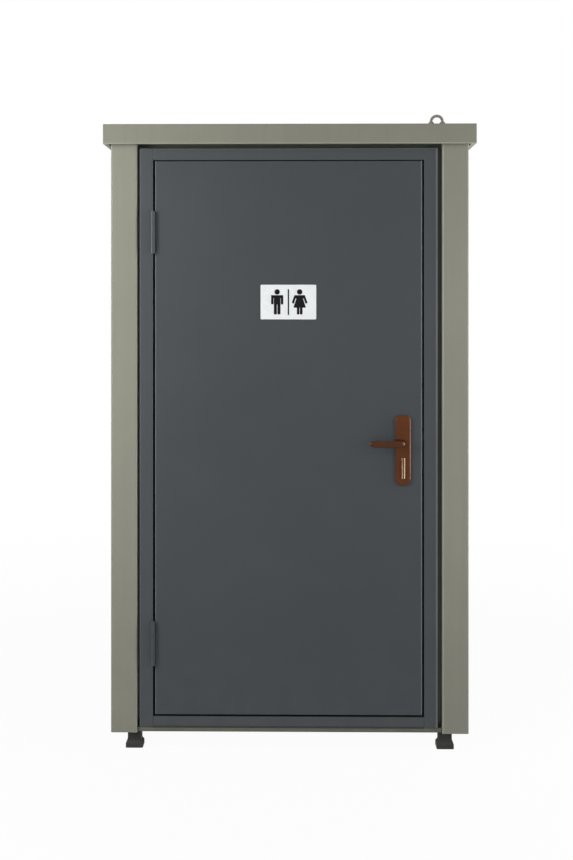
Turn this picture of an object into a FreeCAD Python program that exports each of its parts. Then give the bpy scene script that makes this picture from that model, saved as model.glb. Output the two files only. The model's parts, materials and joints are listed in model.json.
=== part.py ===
# Portable toilet cabin: olive grey steel structure, anthracite outward opening door, toilet and basin inside.
# Millimetres, +Z up, the door faces -Y. The origin is at the bottom centre of the whole cabin.

import FreeCAD, Part
import math
import os

V = FreeCAD.Vector

# Shared small values: how far fused pieces of one solid overlap, and the flat left between two round corners
OVERLAP = 1.0
ROUND_END_FLAT = 0.2
TOLERANCE = 1e-4

# Cabin body
BODY_WIDTH = 1270.0
BODY_DEPTH = 1400.0
BODY_HEIGHT = 2160.0
FOOT_HEIGHT = 60.0

# Corner posts
POST_SIDE = 93.0
POST_WALL = 3.0
POST_CORNER_RADIUS = 5.0
POST_FLANGE_SETBACK = 46.0

# Roof cap
ROOF_OVERHANG = 25.0
ROOF_FASCIA = 70.0
ROOF_SHEET = 2.0
ROOF_RETURN = 15.0
ROOF_BEAD_COUNT = 4
ROOF_BEAD_WIDTH = 60.0
ROOF_BEAD_HEIGHT = 5.0

# Base and top rails
RAIL_DEPTH = 70.0
RAIL_WALL = 3.0
RAIL_RECESS = 12.0
BASE_RAIL_HEIGHT = 54.0
SILL_LIP_HEIGHT = 17.0
TOP_RAIL_HEIGHT = 81.0
TOP_RAIL_RECESS = 46.0
CROSS_MEMBER_COUNT = 2
CROSS_MEMBER_WIDTH = 50.0

# Floor and ceiling
FLOOR_THICKNESS = 18.0
CEILING_THICKNESS = 10.0

# Walls
SHEET_THICKNESS = 1.0
RIB_DEPTH = 12.0
RIB_PITCH = 100.0
RIB_CREST = 52.0
RIB_FLANK = 12.0
STUD_DEPTH = 34.0
STUD_WIDTH = 38.0
LINING_THICKNESS = 10.0

# Feet
FOOT_CENTRE_FROM_SIDE = 81.0
FOOT_CENTRE_FROM_FRONT = 48.0
FOOT_BLOCK_SIDE = 48.0
FOOT_BLOCK_CHAMFER = 3.0
FOOT_BASE_SIDE = 61.0
FOOT_BASE_CHAMFER = 3.0
FOOT_BASE_HEIGHT = 16.0
FOOT_FLARE_HEIGHT = 10.0

# Lifting eyes
EYE_BAR_RADIUS = 5.0
EYE_BEND_RADIUS = 20.0
EYE_LEG_HEIGHT = 11.0
EYE_FLARE_RADIUS = 10.0
EYE_FROM_SIDE = 112.0
EYE_FROM_FRONT = 12.0

# Door frame
FRAME_GAP_LEFT = 8.0
FRAME_GAP_RIGHT = 16.0
FRAME_RECESS = 10.0
FRAME_DEPTH = 60.0
FRAME_FACE = 48.0
FRAME_HEAD_FACE = 42.0
FRAME_THRESHOLD_FACE = 34.0
FRAME_WALL = 2.5
THRESHOLD_CLEARANCE = 4.0
STOP_DEPTH = 15.0
STOP_HINGE_SIDE = 18.0
STOP_LOCK_SIDE = 25.0
STOP_HEAD = 14.0

# Door leaf
LEAF_THICKNESS = 42.0
LEAF_GAP_SIDE = 7.5
LEAF_GAP_TOP = 3.0
LEAF_GAP_BOTTOM = 7.0
LEAF_LIP = 3.0
LEAF_LIP_THICKNESS = 3.0
LEAF_SKIN = 2.0
LEAF_EDGE_RADIUS = 2.2
CORE_COLUMNS = 6
CORE_ROWS = 11
CORE_WALL = 3.0
CORE_CLEARANCE = 0.3
GASKET_WIDTH = 7.5
GASKET_OVERLAP = 8.5
GASKET_CLEARANCE = 0.3

# Hinges
HINGE_RADIUS = 8.5
HINGE_STANDOFF = 0.3
HINGE_PIN_RADIUS = 4.5
HINGE_RUNNING = 0.08
HINGE_KNUCKLE_GAP = 0.8
KNUCKLE_CHAMFER = 0.5
PIN_HEAD_RADIUS = 7.0
PIN_HEAD_HEIGHT = 1.5
HINGE_WELD_WIDTH = 6.0
HINGE_TAB = 4.0
HINGE_TAB_DEPTH = 15.0
UPPER_HINGE_BOTTOM = 1762.0
UPPER_HINGE_LENGTH = 150.0
LOWER_HINGE_BOTTOM = 297.0
LOWER_HINGE_LENGTH = 157.0
LEAF_KNUCKLE_SHARE = 0.4

# Lock
BACKSET = 65.0
HANDLE_HEIGHT = 1089.0
CYLINDER_DROP = 72.0
CASE_DEPTH = 88.0
CASE_THICKNESS = 16.0
CASE_ABOVE = 52.0
CASE_BELOW = 112.0
FACEPLATE_LENGTH = 235.0
FACEPLATE_WIDTH = 20.0
FACEPLATE_THICKNESS = 3.0
LOCK_CLEARANCE = 0.3
LATCH_PROJECTION = 9.0
LATCH_BEVEL_FACE = 2.0
LATCH_HEIGHT = 22.0
LATCH_THICKNESS = 12.0
LATCH_TAIL = 40.0
LATCH_ABOVE_AXIS = 22.0
BOLT_HEIGHT = 34.0
BOLT_THICKNESS = 12.0
BOLT_LENGTH = 48.0
BOLT_FLUSH = 0.5
BOLT_CHAMFER = 1.0
SPINDLE_SIDE = 8.0
SPINDLE_CLEARANCE = 1.0
SPINDLE_SOCKET = 18.0
STRIKE_THICKNESS = 1.5
STRIKE_LEDGE = 4.0
STRIKE_WIDTH = 24.0
STRIKE_LENGTH = 180.0
STRIKE_SLACK = 1.0

# Lock cylinder and thumb turn
CYLINDER_RADIUS = 8.5
CYLINDER_FLANK = 10.0
CYLINDER_HEIGHT = 33.0
CYLINDER_PROUD = 1.0
CYLINDER_COVER = 3.0
KEYWAY_WIDTH = 2.4
KEYWAY_HEIGHT = 8.6
KEYWAY_DEPTH = 20.0
KEY_SLOT_MARGIN = 0.4
TURN_SHAFT_RADIUS = 4.0
TURN_SHAFT_LENGTH = 16.0
TURN_CLEARANCE = 0.3
TURN_COLLAR_RADIUS = 9.0
TURN_COLLAR_HEIGHT = 4.0
TURN_WIDTH = 32.0
TURN_THICKNESS = 9.0
TURN_PROJECTION = 22.0

# Backplates and levers
PLATE_WIDTH = 54.0
PLATE_ABOVE = 98.5
PLATE_BELOW = 149.5
PLATE_THICKNESS = 10.0
PLATE_TOP_RADIUS = 17.0
PLATE_BOTTOM_RADIUS = 24.0
PLATE_EDGE_RADIUS = 3.5
GUARD_WIDTH = 18.0
GUARD_ABOVE = 22.0
GUARD_BELOW = 57.0
GUARD_PROUD = 6.0
GUARD_EDGE_RADIUS = 5.5
LEVER_REACH = 121.0
LEVER_STANDOFF = 36.0
LEVER_NECK_RADIUS = 9.5
LEVER_NECK_SETBACK = 1.0
LEVER_NECK_CLEARANCE = 0.3
LEVER_COLLAR_RADIUS = 13.0
LEVER_COLLAR_HEIGHT = 6.0
LEVER_ROOT_HEIGHT = 22.0
LEVER_ROOT_DEPTH = 20.0
LEVER_BEND_RADIUS = 14.0
LEVER_GRIP_HEIGHT = 23.0
LEVER_GRIP_DEPTH = 15.0
LEVER_TIP_HEIGHT = 8.0
LEVER_TIP_DEPTH = 6.0
LEVER_TIP_LENGTH = 21.0
LEVER_TIP_STATIONS = (0.0, 0.5, 0.8, 1.0)
LEVER_BEND_STEPS = 3

# Sign plate
SIGN_WIDTH = 198.0
SIGN_HEIGHT = 123.0
SIGN_THICKNESS = 2.0
SIGN_CENTRE_Z = 1590.0
SIGN_CORNER_RADIUS = 3.0

# Toilet
TOILET_X = 0.0
BOWL_HEIGHT = 400.0
BOWL_HALF_WIDTH = 178.0
BOWL_FOOT_HALF_WIDTH = 105.0
BOWL_FRONT = 660.0
BOWL_RIM_BACK = 215.0
BOWL_RIM_DEPTH = 30.0
BOWL_FOOT_FRONT = 520.0
BOWL_FOOT_BACK = 150.0
BOWL_WAIST_RISE = 90.0
BOWL_WAIST_HALF_WIDTH = 107.0
BOWL_BELLY_RISE = 270.0
BOWL_BELLY_HALF_WIDTH = 153.0
BOWL_BELLY_FRONT = 630.0
BOWL_BELLY_BACK = 182.0
BOWL_NOSE_RATIO = 1.3
BOWL_STRAIGHT_LEAST = 10.0
BOWL_NOSE_STEPS = 8
BOWL_CAVITY_HALF_WIDTH = 118.0
BOWL_CAVITY_HALF_LENGTH = 150.0
BOWL_CAVITY_CENTRE = 470.0
BOWL_CAVITY_DEPTH = 240.0
BOWL_CAVITY_STATIONS = ((0.0, 1.0, 0.0), (0.35, 0.91, 2.0), (0.7, 0.64, 14.0), (1.0, 0.34, 22.0))
SHELF_HALF_WIDTH = 115.0
SHELF_THICKNESS = 45.0
SHELF_BACK = 20.0
SHELF_ROOT = 20.0
SEAT_GAP = 3.0
SEAT_THICKNESS = 18.0
SEAT_MARGIN = 7.0
SEAT_HINGE_BACK = 245.0
SEAT_HINGE_RISE = 12.0
SEAT_PLATE_FROM_AXIS = 14.0
SEAT_EAR_RADIUS = 9.0
SEAT_EAR_WIDTH = 28.0
SEAT_EAR_FROM_CENTRE = 60.0
LID_EAR_FROM_CENTRE = 20.0
LID_THICKNESS = 11.0
LID_REST = 0.4
LID_BEHIND_AXIS = 6.0
SEAT_EDGE_RADIUS = 5.0
SEAT_EDGE_LIMIT = 0.45
SEAT_ROD_RADIUS = 4.0
SEAT_ROD_CLEARANCE = 0.1
SEAT_POST_WIDTH = 14.0
SEAT_POST_GAP = 2.0
SEAT_POST_RADIUS = 8.0
SEAT_POST_HALF_DEPTH = 7.0
SEAT_EAR_ROOT = 6.0
SEAT_HOLE_MARGIN = 3.5
SEAT_BUFFER_RADIUS = 9.0
SEAT_BUFFER_INSET = 30.0
SEAT_BUFFER_REAR = 320.0
SEAT_BUFFER_FRONT = 545.0
SEAT_BUFFER_CLEARANCE = 0.3

# Cistern
CISTERN_HALF_WIDTH = 190.0
CISTERN_DEPTH = 170.0
CISTERN_BACK = 5.0
CISTERN_HEIGHT = 340.0
CISTERN_WALL = 9.0
CISTERN_CORNER_RADIUS = 25.0
CISTERN_TAPER = 12.0
COVER_THICKNESS = 26.0
COVER_MARGIN = 5.0
COVER_EDGE_RADIUS = 8.0
FLUSH_BUTTON_RADIUS = 19.0
FLUSH_BUTTON_CLEARANCE = 0.4
FLUSH_BUTTON_THICKNESS = 12.0
FLUSH_BUTTON_PROUD = 4.0
FLUSH_BUTTON_EDGE = 2.0
FLUSH_STEM_RADIUS = 5.0
FLUSH_STEM_LENGTH = 45.0

# Drain and water
DRAIN_RADIUS = 55.0
DRAIN_WALL = 3.2
DRAIN_HEIGHT = 190.0
DRAIN_REACH = 50.0
DRAIN_SOCKET_DEPTH = 40.0
DRAIN_SOCKET_WALL = 9.0
DRAIN_SOCKET_BACK = 120.0
DRAIN_SOCKET_ROOT = 120.0
DRAIN_SOCKET_CLEARANCE = 0.3
ROSETTE_THICKNESS = 6.0
DRAIN_ROSETTE_RADIUS = 66.0
WALL_HOLE_CLEARANCE = 0.5
WATER_X = 150.0
WATER_HEIGHT = 250.0
WATER_RADIUS = 10.5
WATER_BORE = 7.5
WATER_REACH = 40.0
WATER_BORE_DEPTH = 32.0
WATER_INSET = 60.0
WATER_ROSETTE_RADIUS = 25.0
WATER_RISER_RADIUS = 6.0
WATER_VALVE_RADIUS = 15.0
WATER_VALVE_BELOW = 18.0
WATER_VALVE_ABOVE = 26.0

# Vent
VENT_SIDE = 190.0
VENT_WALL = 3.0
VENT_FLANGE = 20.0
VENT_FLANGE_THICKNESS = 3.0
VENT_HEIGHT = 1800.0
VENT_SLATS = 7
VENT_SLAT_THICKNESS = 2.0
VENT_SLAT_CHORD = 30.0
VENT_SLAT_ANGLE = 40.0

# Washbasin
BASIN_FROM_FRONT = 480.0
BASIN_LENGTH = 400.0
BASIN_DEPTH = 280.0
BASIN_HEIGHT = 850.0
BASIN_THICKNESS = 140.0
BASIN_CORNER_RADIUS = 50.0
BASIN_BOTTOM_SHRINK = 55.0
BASIN_BOWL_HALF_LENGTH = 150.0
BASIN_BOWL_HALF_DEPTH = 82.0
BASIN_BOWL_DEPTH = 105.0
BASIN_BOWL_STATIONS = ((1.0, 0.45), (0.65, 0.85), (0.0, 1.0))
BASIN_DECK = 85.0
BASIN_DRAIN_RADIUS = 22.0
TRAP_PIPE_RADIUS = 16.0
TRAP_PIPE_WALL = 2.0
TRAP_STRAINER_DEPTH = 2.0
TRAP_NUT_RADIUS = 33.0
TRAP_NUT_HEIGHT = 8.0
TRAP_BOTTLE_RADIUS = 32.0
TRAP_BOTTLE_HEIGHT = 95.0
TRAP_OUTLET_DROP = 32.0
TRAP_TAIL = 50.0
TRAP_ROSETTE_RADIUS = 34.0
TRAP_ROSETTE_THICKNESS = 8.0

# Tap
TAP_RADIUS = 23.0
TAP_HEIGHT = 62.0
TAP_SPOUT_RADIUS = 11.0
TAP_SPOUT_HEIGHT = 34.0
TAP_SPOUT_REACH = 95.0
TAP_SPOUT_RISE = 8.0
TAP_OUTLET_RADIUS = 6.5
TAP_OUTLET_FROM_END = 14.0
TAP_OUTLET_DEPTH = 4.0
TAP_STEM_RADIUS = 9.0
TAP_STEM_RISE = 24.0
TAP_BUTTON_RADIUS = 22.0
TAP_BUTTON_HEIGHT = 28.0
TAP_BUTTON_LIFT = 10.0
TAP_BUTTON_CROWN = 4.0
TAP_BUTTON_EDGE = 3.5
TAP_BUTTON_CLEARANCE = 0.4

# Mirror
MIRROR_WIDTH = 380.0
MIRROR_HEIGHT = 500.0
MIRROR_THICKNESS = 5.0
MIRROR_ABOVE_BASIN = 330.0
MIRROR_CORNER_RADIUS = 12.0

# Paper holder
PAPER_FROM_REAR = 560.0
PAPER_HEIGHT = 700.0
PAPER_ROLL_RADIUS = 55.0
PAPER_ROLL_WIDTH = 100.0
PAPER_BORE_RADIUS = 20.0
PAPER_RUNNING = 0.3
PAPER_FROM_WALL = 75.0
PAPER_ARM = 5.0
PAPER_PLATE_HEIGHT = 80.0
PAPER_ARM_RADIUS = 26.0
PAPER_SIDE_GAP = 1.0

# Ceiling lamp
LAMP_RADIUS = 130.0
LAMP_HEIGHT = 55.0
LAMP_RIM = 18.0
LAMP_FROM_FRONT = 560.0

# Levels
FLOOR_TOP = FOOT_HEIGHT + BASE_RAIL_HEIGHT + FLOOR_THICKNESS
BODY_TOP = FOOT_HEIGHT + BODY_HEIGHT
ROOF_UNDERSIDE = BODY_TOP - ROOF_SHEET
FASCIA_BOTTOM = BODY_TOP - ROOF_FASCIA
BASE_RAIL_TOP = FOOT_HEIGHT + BASE_RAIL_HEIGHT
SILL_LIP_TOP = FOOT_HEIGHT + SILL_LIP_HEIGHT
TOP_RAIL_BOTTOM = ROOF_UNDERSIDE - TOP_RAIL_HEIGHT
CEILING_BOTTOM = TOP_RAIL_BOTTOM - CEILING_THICKNESS

# Body planes, set so that the whole cabin with its handle and drain is centred on the origin
LEVER_FRONT = PLATE_THICKNESS + LEVER_STANDOFF + LEVER_GRIP_DEPTH / 2.0 - FRAME_RECESS
FRONT_REACH = max(ROOF_OVERHANG, LEVER_FRONT)
REAR_REACH = max(ROOF_OVERHANG, DRAIN_REACH, WATER_REACH)
FRONT_Y = (FRONT_REACH - REAR_REACH - BODY_DEPTH) / 2.0
BACK_Y = FRONT_Y + BODY_DEPTH
HALF_WIDTH = BODY_WIDTH / 2.0
OPENING_HALF = HALF_WIDTH - POST_SIDE

# Wall layers, measured inward from the outer faces of the posts
CREST = RAIL_RECESS
TROUGH = CREST + RIB_DEPTH
STUD_OUTER = TROUGH + SHEET_THICKNESS
LINING_OUTER = STUD_OUTER + STUD_DEPTH
LINING_INNER = LINING_OUTER + LINING_THICKNESS
WALL_REAR_FACE = BACK_Y - LINING_INNER
SIDE_WALL_FRONT = FRONT_Y + POST_SIDE
SIDE_WALL_BACK = BACK_Y - POST_SIDE

# Door frame places
DOOR_FACE = FRONT_Y + FRAME_RECESS
FRAME_BACK = DOOR_FACE + FRAME_DEPTH
STOP_FRONT = FRAME_BACK - STOP_DEPTH
FRAME_LEFT = FRAME_GAP_LEFT - OPENING_HALF
FRAME_RIGHT = OPENING_HALF - FRAME_GAP_RIGHT
DOORWAY_LEFT = FRAME_LEFT + FRAME_FACE
DOORWAY_RIGHT = FRAME_RIGHT - FRAME_FACE
THRESHOLD_BOTTOM = SILL_LIP_TOP + THRESHOLD_CLEARANCE
THRESHOLD_FACE_TOP = THRESHOLD_BOTTOM + FRAME_THRESHOLD_FACE
HEAD_BOTTOM = TOP_RAIL_BOTTOM - FRAME_HEAD_FACE
STOP_LEFT = DOORWAY_LEFT + STOP_HINGE_SIDE
STOP_RIGHT = DOORWAY_RIGHT - STOP_LOCK_SIDE
STOP_TOP = HEAD_BOTTOM - STOP_HEAD

# Door leaf places
LEAF_LEFT = DOORWAY_LEFT + LEAF_GAP_SIDE
LEAF_RIGHT = DOORWAY_RIGHT - LEAF_GAP_SIDE
LEAF_EDGE = LEAF_RIGHT - LEAF_LIP
LEAF_BOTTOM = THRESHOLD_FACE_TOP + LEAF_GAP_BOTTOM
LEAF_TOP = HEAD_BOTTOM - LEAF_GAP_TOP
LEAF_BACK = DOOR_FACE + LEAF_THICKNESS
LEAF_MIDDLE = DOOR_FACE + LEAF_THICKNESS / 2.0
SIGN_CENTRE_X = (LEAF_LEFT + LEAF_RIGHT) / 2.0

# Hinge and handle axes
HINGE_X = DOORWAY_LEFT
HINGE_Y = DOOR_FACE - HINGE_RADIUS - HINGE_STANDOFF
HANDLE_X = LEAF_EDGE - BACKSET
CYLINDER_Z = HANDLE_HEIGHT - CYLINDER_DROP
OUTER_PLATE_FACE = DOOR_FACE - PLATE_THICKNESS
INNER_PLATE_FACE = LEAF_BACK + PLATE_THICKNESS
LATCH_Z = HANDLE_HEIGHT + LATCH_ABOVE_AXIS
BOLT_Z = CYLINDER_Z

# Toilet places
BOWL_TOP = FLOOR_TOP + BOWL_HEIGHT
SEAT_AXIS_Y = WALL_REAR_FACE - SEAT_HINGE_BACK
SEAT_AXIS_Z = BOWL_TOP + SEAT_HINGE_RISE
SEAT_BOTTOM = BOWL_TOP + SEAT_GAP
SEAT_TOP = SEAT_BOTTOM + SEAT_THICKNESS
LID_BOTTOM = SEAT_TOP + LID_REST
LID_TOP = LID_BOTTOM + LID_THICKNESS
CISTERN_TOP = BOWL_TOP + CISTERN_HEIGHT
DRAIN_Z = FLOOR_TOP + DRAIN_HEIGHT
WATER_Z = FLOOR_TOP + WATER_HEIGHT
VENT_Z = FLOOR_TOP + VENT_HEIGHT

# Basin places
SIDE_LINING_FACE = HALF_WIDTH - LINING_INNER
BASIN_Y = FRONT_Y + BASIN_FROM_FRONT
BASIN_TOP = FLOOR_TOP + BASIN_HEIGHT
BASIN_BOTTOM = BASIN_TOP - BASIN_THICKNESS
BASIN_BOWL_X = SIDE_LINING_FACE - BASIN_DECK - BASIN_BOWL_HALF_DEPTH


def box(x0, x1, y0, y1, z0, z1):
    """Box between two corners given in any order."""
    low = V(min(x0, x1), min(y0, y1), min(z0, z1))
    return Part.makeBox(abs(x1 - x0), abs(y1 - y0), abs(z1 - z0), low)


def cylinder(radius, start, end):
    """Round bar between two points."""
    a = V(*start)
    b = V(*end)
    return Part.makeCylinder(radius, (b - a).Length, a, b - a)


def fuse(first, *rest):
    """One solid from touching or overlapping shapes."""
    shape = first.fuse(list(rest))
    return shape.removeSplitter()


def flat(points, radii=None):
    """Closed wire through 3-D points, with each corner rounded by its radius."""
    points = [V(*p) for p in points]
    count = len(points)
    if radii is None:
        return Part.makePolygon(points + [points[0]])
    if not isinstance(radii, (list, tuple)):
        radii = [radii] * count
    spans = []
    for i in range(count):
        before = points[i - 1] - points[i]
        after = points[(i + 1) % count] - points[i]
        before.normalize()
        after.normalize()
        if radii[i] <= 0.0:
            spans.append((points[i], None, points[i]))
            continue
        half = before.getAngle(after) / 2.0
        reach = radii[i] / math.tan(half)
        middle = before + after
        middle.normalize()
        centre = points[i] + middle * (radii[i] / math.sin(half))
        spans.append((points[i] + before * reach, centre - middle * radii[i], points[i] + after * reach))
    edges = []
    for i in range(count):
        start, mid, end = spans[i]
        if mid is not None:
            edges.append(Part.Arc(start, mid, end).toShape())
        following = spans[(i + 1) % count][0]
        if (following - end).Length > TOLERANCE:
            edges.append(Part.LineSegment(end, following).toShape())
    return Part.Wire(edges)


def prism(points, direction, radii=None):
    """Solid made by moving a flat outline along a direction."""
    return Part.Face(flat(points, radii)).extrude(V(*direction))


def tube(outer, inner, direction, outer_radii=None, inner_radii=None):
    """Hollow profile: the outline between two flat wires, moved along a direction."""
    solid = prism(outer, direction, outer_radii)
    return solid.cut(prism(inner, direction, inner_radii))


def group(shapes):
    return Part.makeCompound(shapes)


def edges_where(shape, test):
    return [edge for edge in shape.Edges if test(edge)]


def is_level(edge, z):
    return abs(edge.BoundBox.ZMin - z) < TOLERANCE and abs(edge.BoundBox.ZMax - z) < TOLERANCE


def is_at_y(edge, y):
    return abs(edge.BoundBox.YMin - y) < TOLERANCE and abs(edge.BoundBox.YMax - y) < TOLERANCE


def is_at_x(edge, x):
    return abs(edge.BoundBox.XMin - x) < TOLERANCE and abs(edge.BoundBox.XMax - x) < TOLERANCE


# Structure


def post_solid(x_sign, y0, y1):
    """Outer block of one corner post, used to cut the floor and ceiling around it."""
    x_outer = x_sign * HALF_WIDTH
    x_inner = x_sign * OPENING_HALF
    return box(x_outer, x_inner, y0, y1, FOOT_HEIGHT, ROOF_UNDERSIDE)


def post(x_sign, y0, y1):
    """Rolled square tube from the feet to the roof sheet."""
    x_low = min(x_sign * HALF_WIDTH, x_sign * OPENING_HALF)
    x_high = x_low + POST_SIDE
    w = POST_WALL
    outer = [(x_low, y0, FOOT_HEIGHT), (x_high, y0, FOOT_HEIGHT),
             (x_high, y1, FOOT_HEIGHT), (x_low, y1, FOOT_HEIGHT)]
    inner = [(x_low + w, y0 + w, FOOT_HEIGHT), (x_high - w, y0 + w, FOOT_HEIGHT),
             (x_high - w, y1 - w, FOOT_HEIGHT), (x_low + w, y1 - w, FOOT_HEIGHT)]
    height = (0, 0, ROOF_UNDERSIDE - FOOT_HEIGHT)
    return tube(outer, inner, height, POST_CORNER_RADIUS, POST_CORNER_RADIUS - POST_WALL)


def front_post(x_sign, frame_side):
    """Front corner post with the flange that closes the joint to the door frame."""
    flange_y = FRONT_Y + POST_FLANGE_SETBACK
    flange = box(x_sign * (OPENING_HALF + POST_WALL / 2.0), frame_side, flange_y, flange_y + POST_WALL,
                 SILL_LIP_TOP, TOP_RAIL_BOTTOM)
    tube_part = post(x_sign, FRONT_Y, FRONT_Y + POST_SIDE)
    return fuse(tube_part, flange)


def sill_rail():
    """Front base rail: its low lip runs under the door frame."""
    w = RAIL_WALL
    y0 = FRONT_Y + RAIL_RECESS
    y1 = FRAME_BACK
    y2 = y1 + RAIL_DEPTH / 2.0
    x = -OPENING_HALF
    outer = [(x, y0, FOOT_HEIGHT), (x, y2, FOOT_HEIGHT), (x, y2, BASE_RAIL_TOP),
             (x, y1, BASE_RAIL_TOP), (x, y1, SILL_LIP_TOP), (x, y0, SILL_LIP_TOP)]
    inner = [(x, y0 + w, FOOT_HEIGHT + w), (x, y2 - w, FOOT_HEIGHT + w), (x, y2 - w, BASE_RAIL_TOP - w),
             (x, y1 + w, BASE_RAIL_TOP - w), (x, y1 + w, SILL_LIP_TOP - w), (x, y0 + w, SILL_LIP_TOP - w)]
    return tube(outer, inner, (2.0 * OPENING_HALF, 0, 0))


def rail_along_x(y_outer, inward, z0, z1):
    """Box rail between the left and right posts."""
    w = RAIL_WALL
    y_inner = y_outer + inward * RAIL_DEPTH
    outer = box(-OPENING_HALF, OPENING_HALF, y_outer, y_inner, z0, z1)
    hollow = box(-OPENING_HALF, OPENING_HALF, y_outer + inward * w, y_inner - inward * w, z0 + w, z1 - w)
    return outer.cut(hollow)


def rail_along_y(x_sign, recess, z0, z1):
    """Box rail between the front and rear posts."""
    w = RAIL_WALL
    x_outer = x_sign * (HALF_WIDTH - recess)
    x_inner = x_outer - x_sign * RAIL_DEPTH
    outer = box(x_outer, x_inner, SIDE_WALL_FRONT, SIDE_WALL_BACK, z0, z1)
    hollow = box(x_outer - x_sign * w, x_inner + x_sign * w, SIDE_WALL_FRONT, SIDE_WALL_BACK, z0 + w, z1 - w)
    return outer.cut(hollow)


def cross_members():
    """Channels under the floor plate, open downward."""
    w = RAIL_WALL
    reach = HALF_WIDTH - RAIL_RECESS - RAIL_DEPTH
    pitch = (SIDE_WALL_BACK - SIDE_WALL_FRONT) / (CROSS_MEMBER_COUNT + 1)
    members = []
    for i in range(CROSS_MEMBER_COUNT):
        y = SIDE_WALL_FRONT + pitch * (i + 1) - CROSS_MEMBER_WIDTH / 2.0
        channel = box(-reach, reach, y, y + CROSS_MEMBER_WIDTH, FOOT_HEIGHT, BASE_RAIL_TOP)
        channel = channel.cut(box(-reach, reach, y + w, y + CROSS_MEMBER_WIDTH - w,
                                  FOOT_HEIGHT, BASE_RAIL_TOP - w))
        members.append(channel)
    return members


def base_frame():
    z = (FOOT_HEIGHT, BASE_RAIL_TOP)
    rails = [sill_rail(), rail_along_x(BACK_Y - RAIL_RECESS, -1, *z)]
    rails += [rail_along_y(side, RAIL_RECESS, *z) for side in (-1, 1)]
    return group(rails + cross_members())


def top_frame():
    z = (TOP_RAIL_BOTTOM, ROOF_UNDERSIDE)
    rails = [rail_along_x(FRONT_Y + TOP_RAIL_RECESS, 1, *z), rail_along_x(BACK_Y - RAIL_RECESS, -1, *z)]
    rails += [rail_along_y(side, RAIL_RECESS, *z) for side in (-1, 1)]
    return group(rails)


def deck(z0, z1):
    """Floor or ceiling board, notched around the posts."""
    reach = HALF_WIDTH - LINING_OUTER
    board = box(-reach, reach, FRAME_BACK, BACK_Y - LINING_OUTER, z0, z1)
    for side in (-1, 1):
        board = board.cut(post_solid(side, FRONT_Y, SIDE_WALL_FRONT))
        board = board.cut(post_solid(side, SIDE_WALL_BACK, BACK_Y))
    return board


def ring(x_half, y0, y1, z0, z1, inset):
    """Flat rectangular ring."""
    outer = box(-x_half, x_half, y0, y1, z0, z1)
    return outer.cut(box(-x_half + inset, x_half - inset, y0 + inset, y1 - inset, z0, z1))


def roof_cap():
    """Folded tray with a fascia, an inward return at its lower edge and pressed beads on top."""
    x = HALF_WIDTH + ROOF_OVERHANG
    y0 = FRONT_Y - ROOF_OVERHANG
    y1 = BACK_Y + ROOF_OVERHANG
    t = ROOF_SHEET
    shell = box(-x, x, y0, y1, FASCIA_BOTTOM, BODY_TOP)
    shell = shell.makeFillet(t, edges_where(shell, lambda e: is_level(e, BODY_TOP)))
    shell = shell.cut(box(-x + t, x - t, y0 + t, y1 - t, FASCIA_BOTTOM, ROOF_UNDERSIDE))
    lip = ring(x - t / 2.0, y0 + t / 2.0, y1 - t / 2.0, FASCIA_BOTTOM, FASCIA_BOTTOM + t, ROOF_RETURN)
    beads = []
    pitch = BODY_WIDTH / ROOF_BEAD_COUNT
    start = y0 + pitch / 2.0
    end = y1 - pitch / 2.0
    for i in range(ROOF_BEAD_COUNT):
        centre = (i + 0.5 - ROOF_BEAD_COUNT / 2.0) * pitch
        half = ROOF_BEAD_WIDTH / 2.0
        crown = half - ROOF_BEAD_HEIGHT
        profile = [(centre - half, start, BODY_TOP), (centre + half, start, BODY_TOP),
                   (centre + crown, start, BODY_TOP + ROOF_BEAD_HEIGHT),
                   (centre - crown, start, BODY_TOP + ROOF_BEAD_HEIGHT)]
        beads.append(prism(profile, (0, end - start, 0)))
    return fuse(shell, lip, *beads)


def lifting_eye(x, y):
    """Bent round bar with flared weld feet."""
    z = BODY_TOP + EYE_LEG_HEIGHT
    r = EYE_BAR_RADIUS
    flare = EYE_FLARE_RADIUS
    reach = EYE_BEND_RADIUS + r + flare
    upper_half = box(x - reach, x + reach, y - reach, y + reach, z, z + reach)
    parts = [Part.makeTorus(EYE_BEND_RADIUS, r, V(x, y, z), V(0, 1, 0), -180, 180, 360).common(upper_half)]
    sag = flare * (1.0 - math.sqrt(0.5))
    for side in (-1, 1):
        cx = x + side * EYE_BEND_RADIUS
        parts.append(cylinder(r, (cx, y, BODY_TOP), (cx, y, z)))
        start = V(cx + r, y, BODY_TOP + flare)
        corner = V(cx + r + sag, y, BODY_TOP + sag)
        foot = V(cx + r + flare, y, BODY_TOP)
        edges = [Part.Arc(start, corner, foot).toShape(),
                 Part.LineSegment(foot, V(cx, y, BODY_TOP)).toShape(),
                 Part.LineSegment(V(cx, y, BODY_TOP), V(cx, y, BODY_TOP + flare)).toShape(),
                 Part.LineSegment(V(cx, y, BODY_TOP + flare), start).toShape()]
        parts.append(Part.Face(Part.Wire(edges)).revolve(V(cx, y, 0), V(0, 0, 1), 360))
    return fuse(*parts)


def lifting_eyes():
    x = HALF_WIDTH - EYE_FROM_SIDE
    front = lifting_eye(x, FRONT_Y + EYE_FROM_FRONT)
    rear = lifting_eye(-x, BACK_Y - EYE_FROM_FRONT)
    return group([front, rear])


def octagon(side, chamfer, z):
    """Square with cut corners, centred on the Z axis."""
    h = side / 2.0
    c = h - chamfer
    return flat([(-c, -h, z), (c, -h, z), (h, -c, z), (h, c, z),
                 (c, h, z), (-c, h, z), (-h, c, z), (-h, -c, z)])


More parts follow.
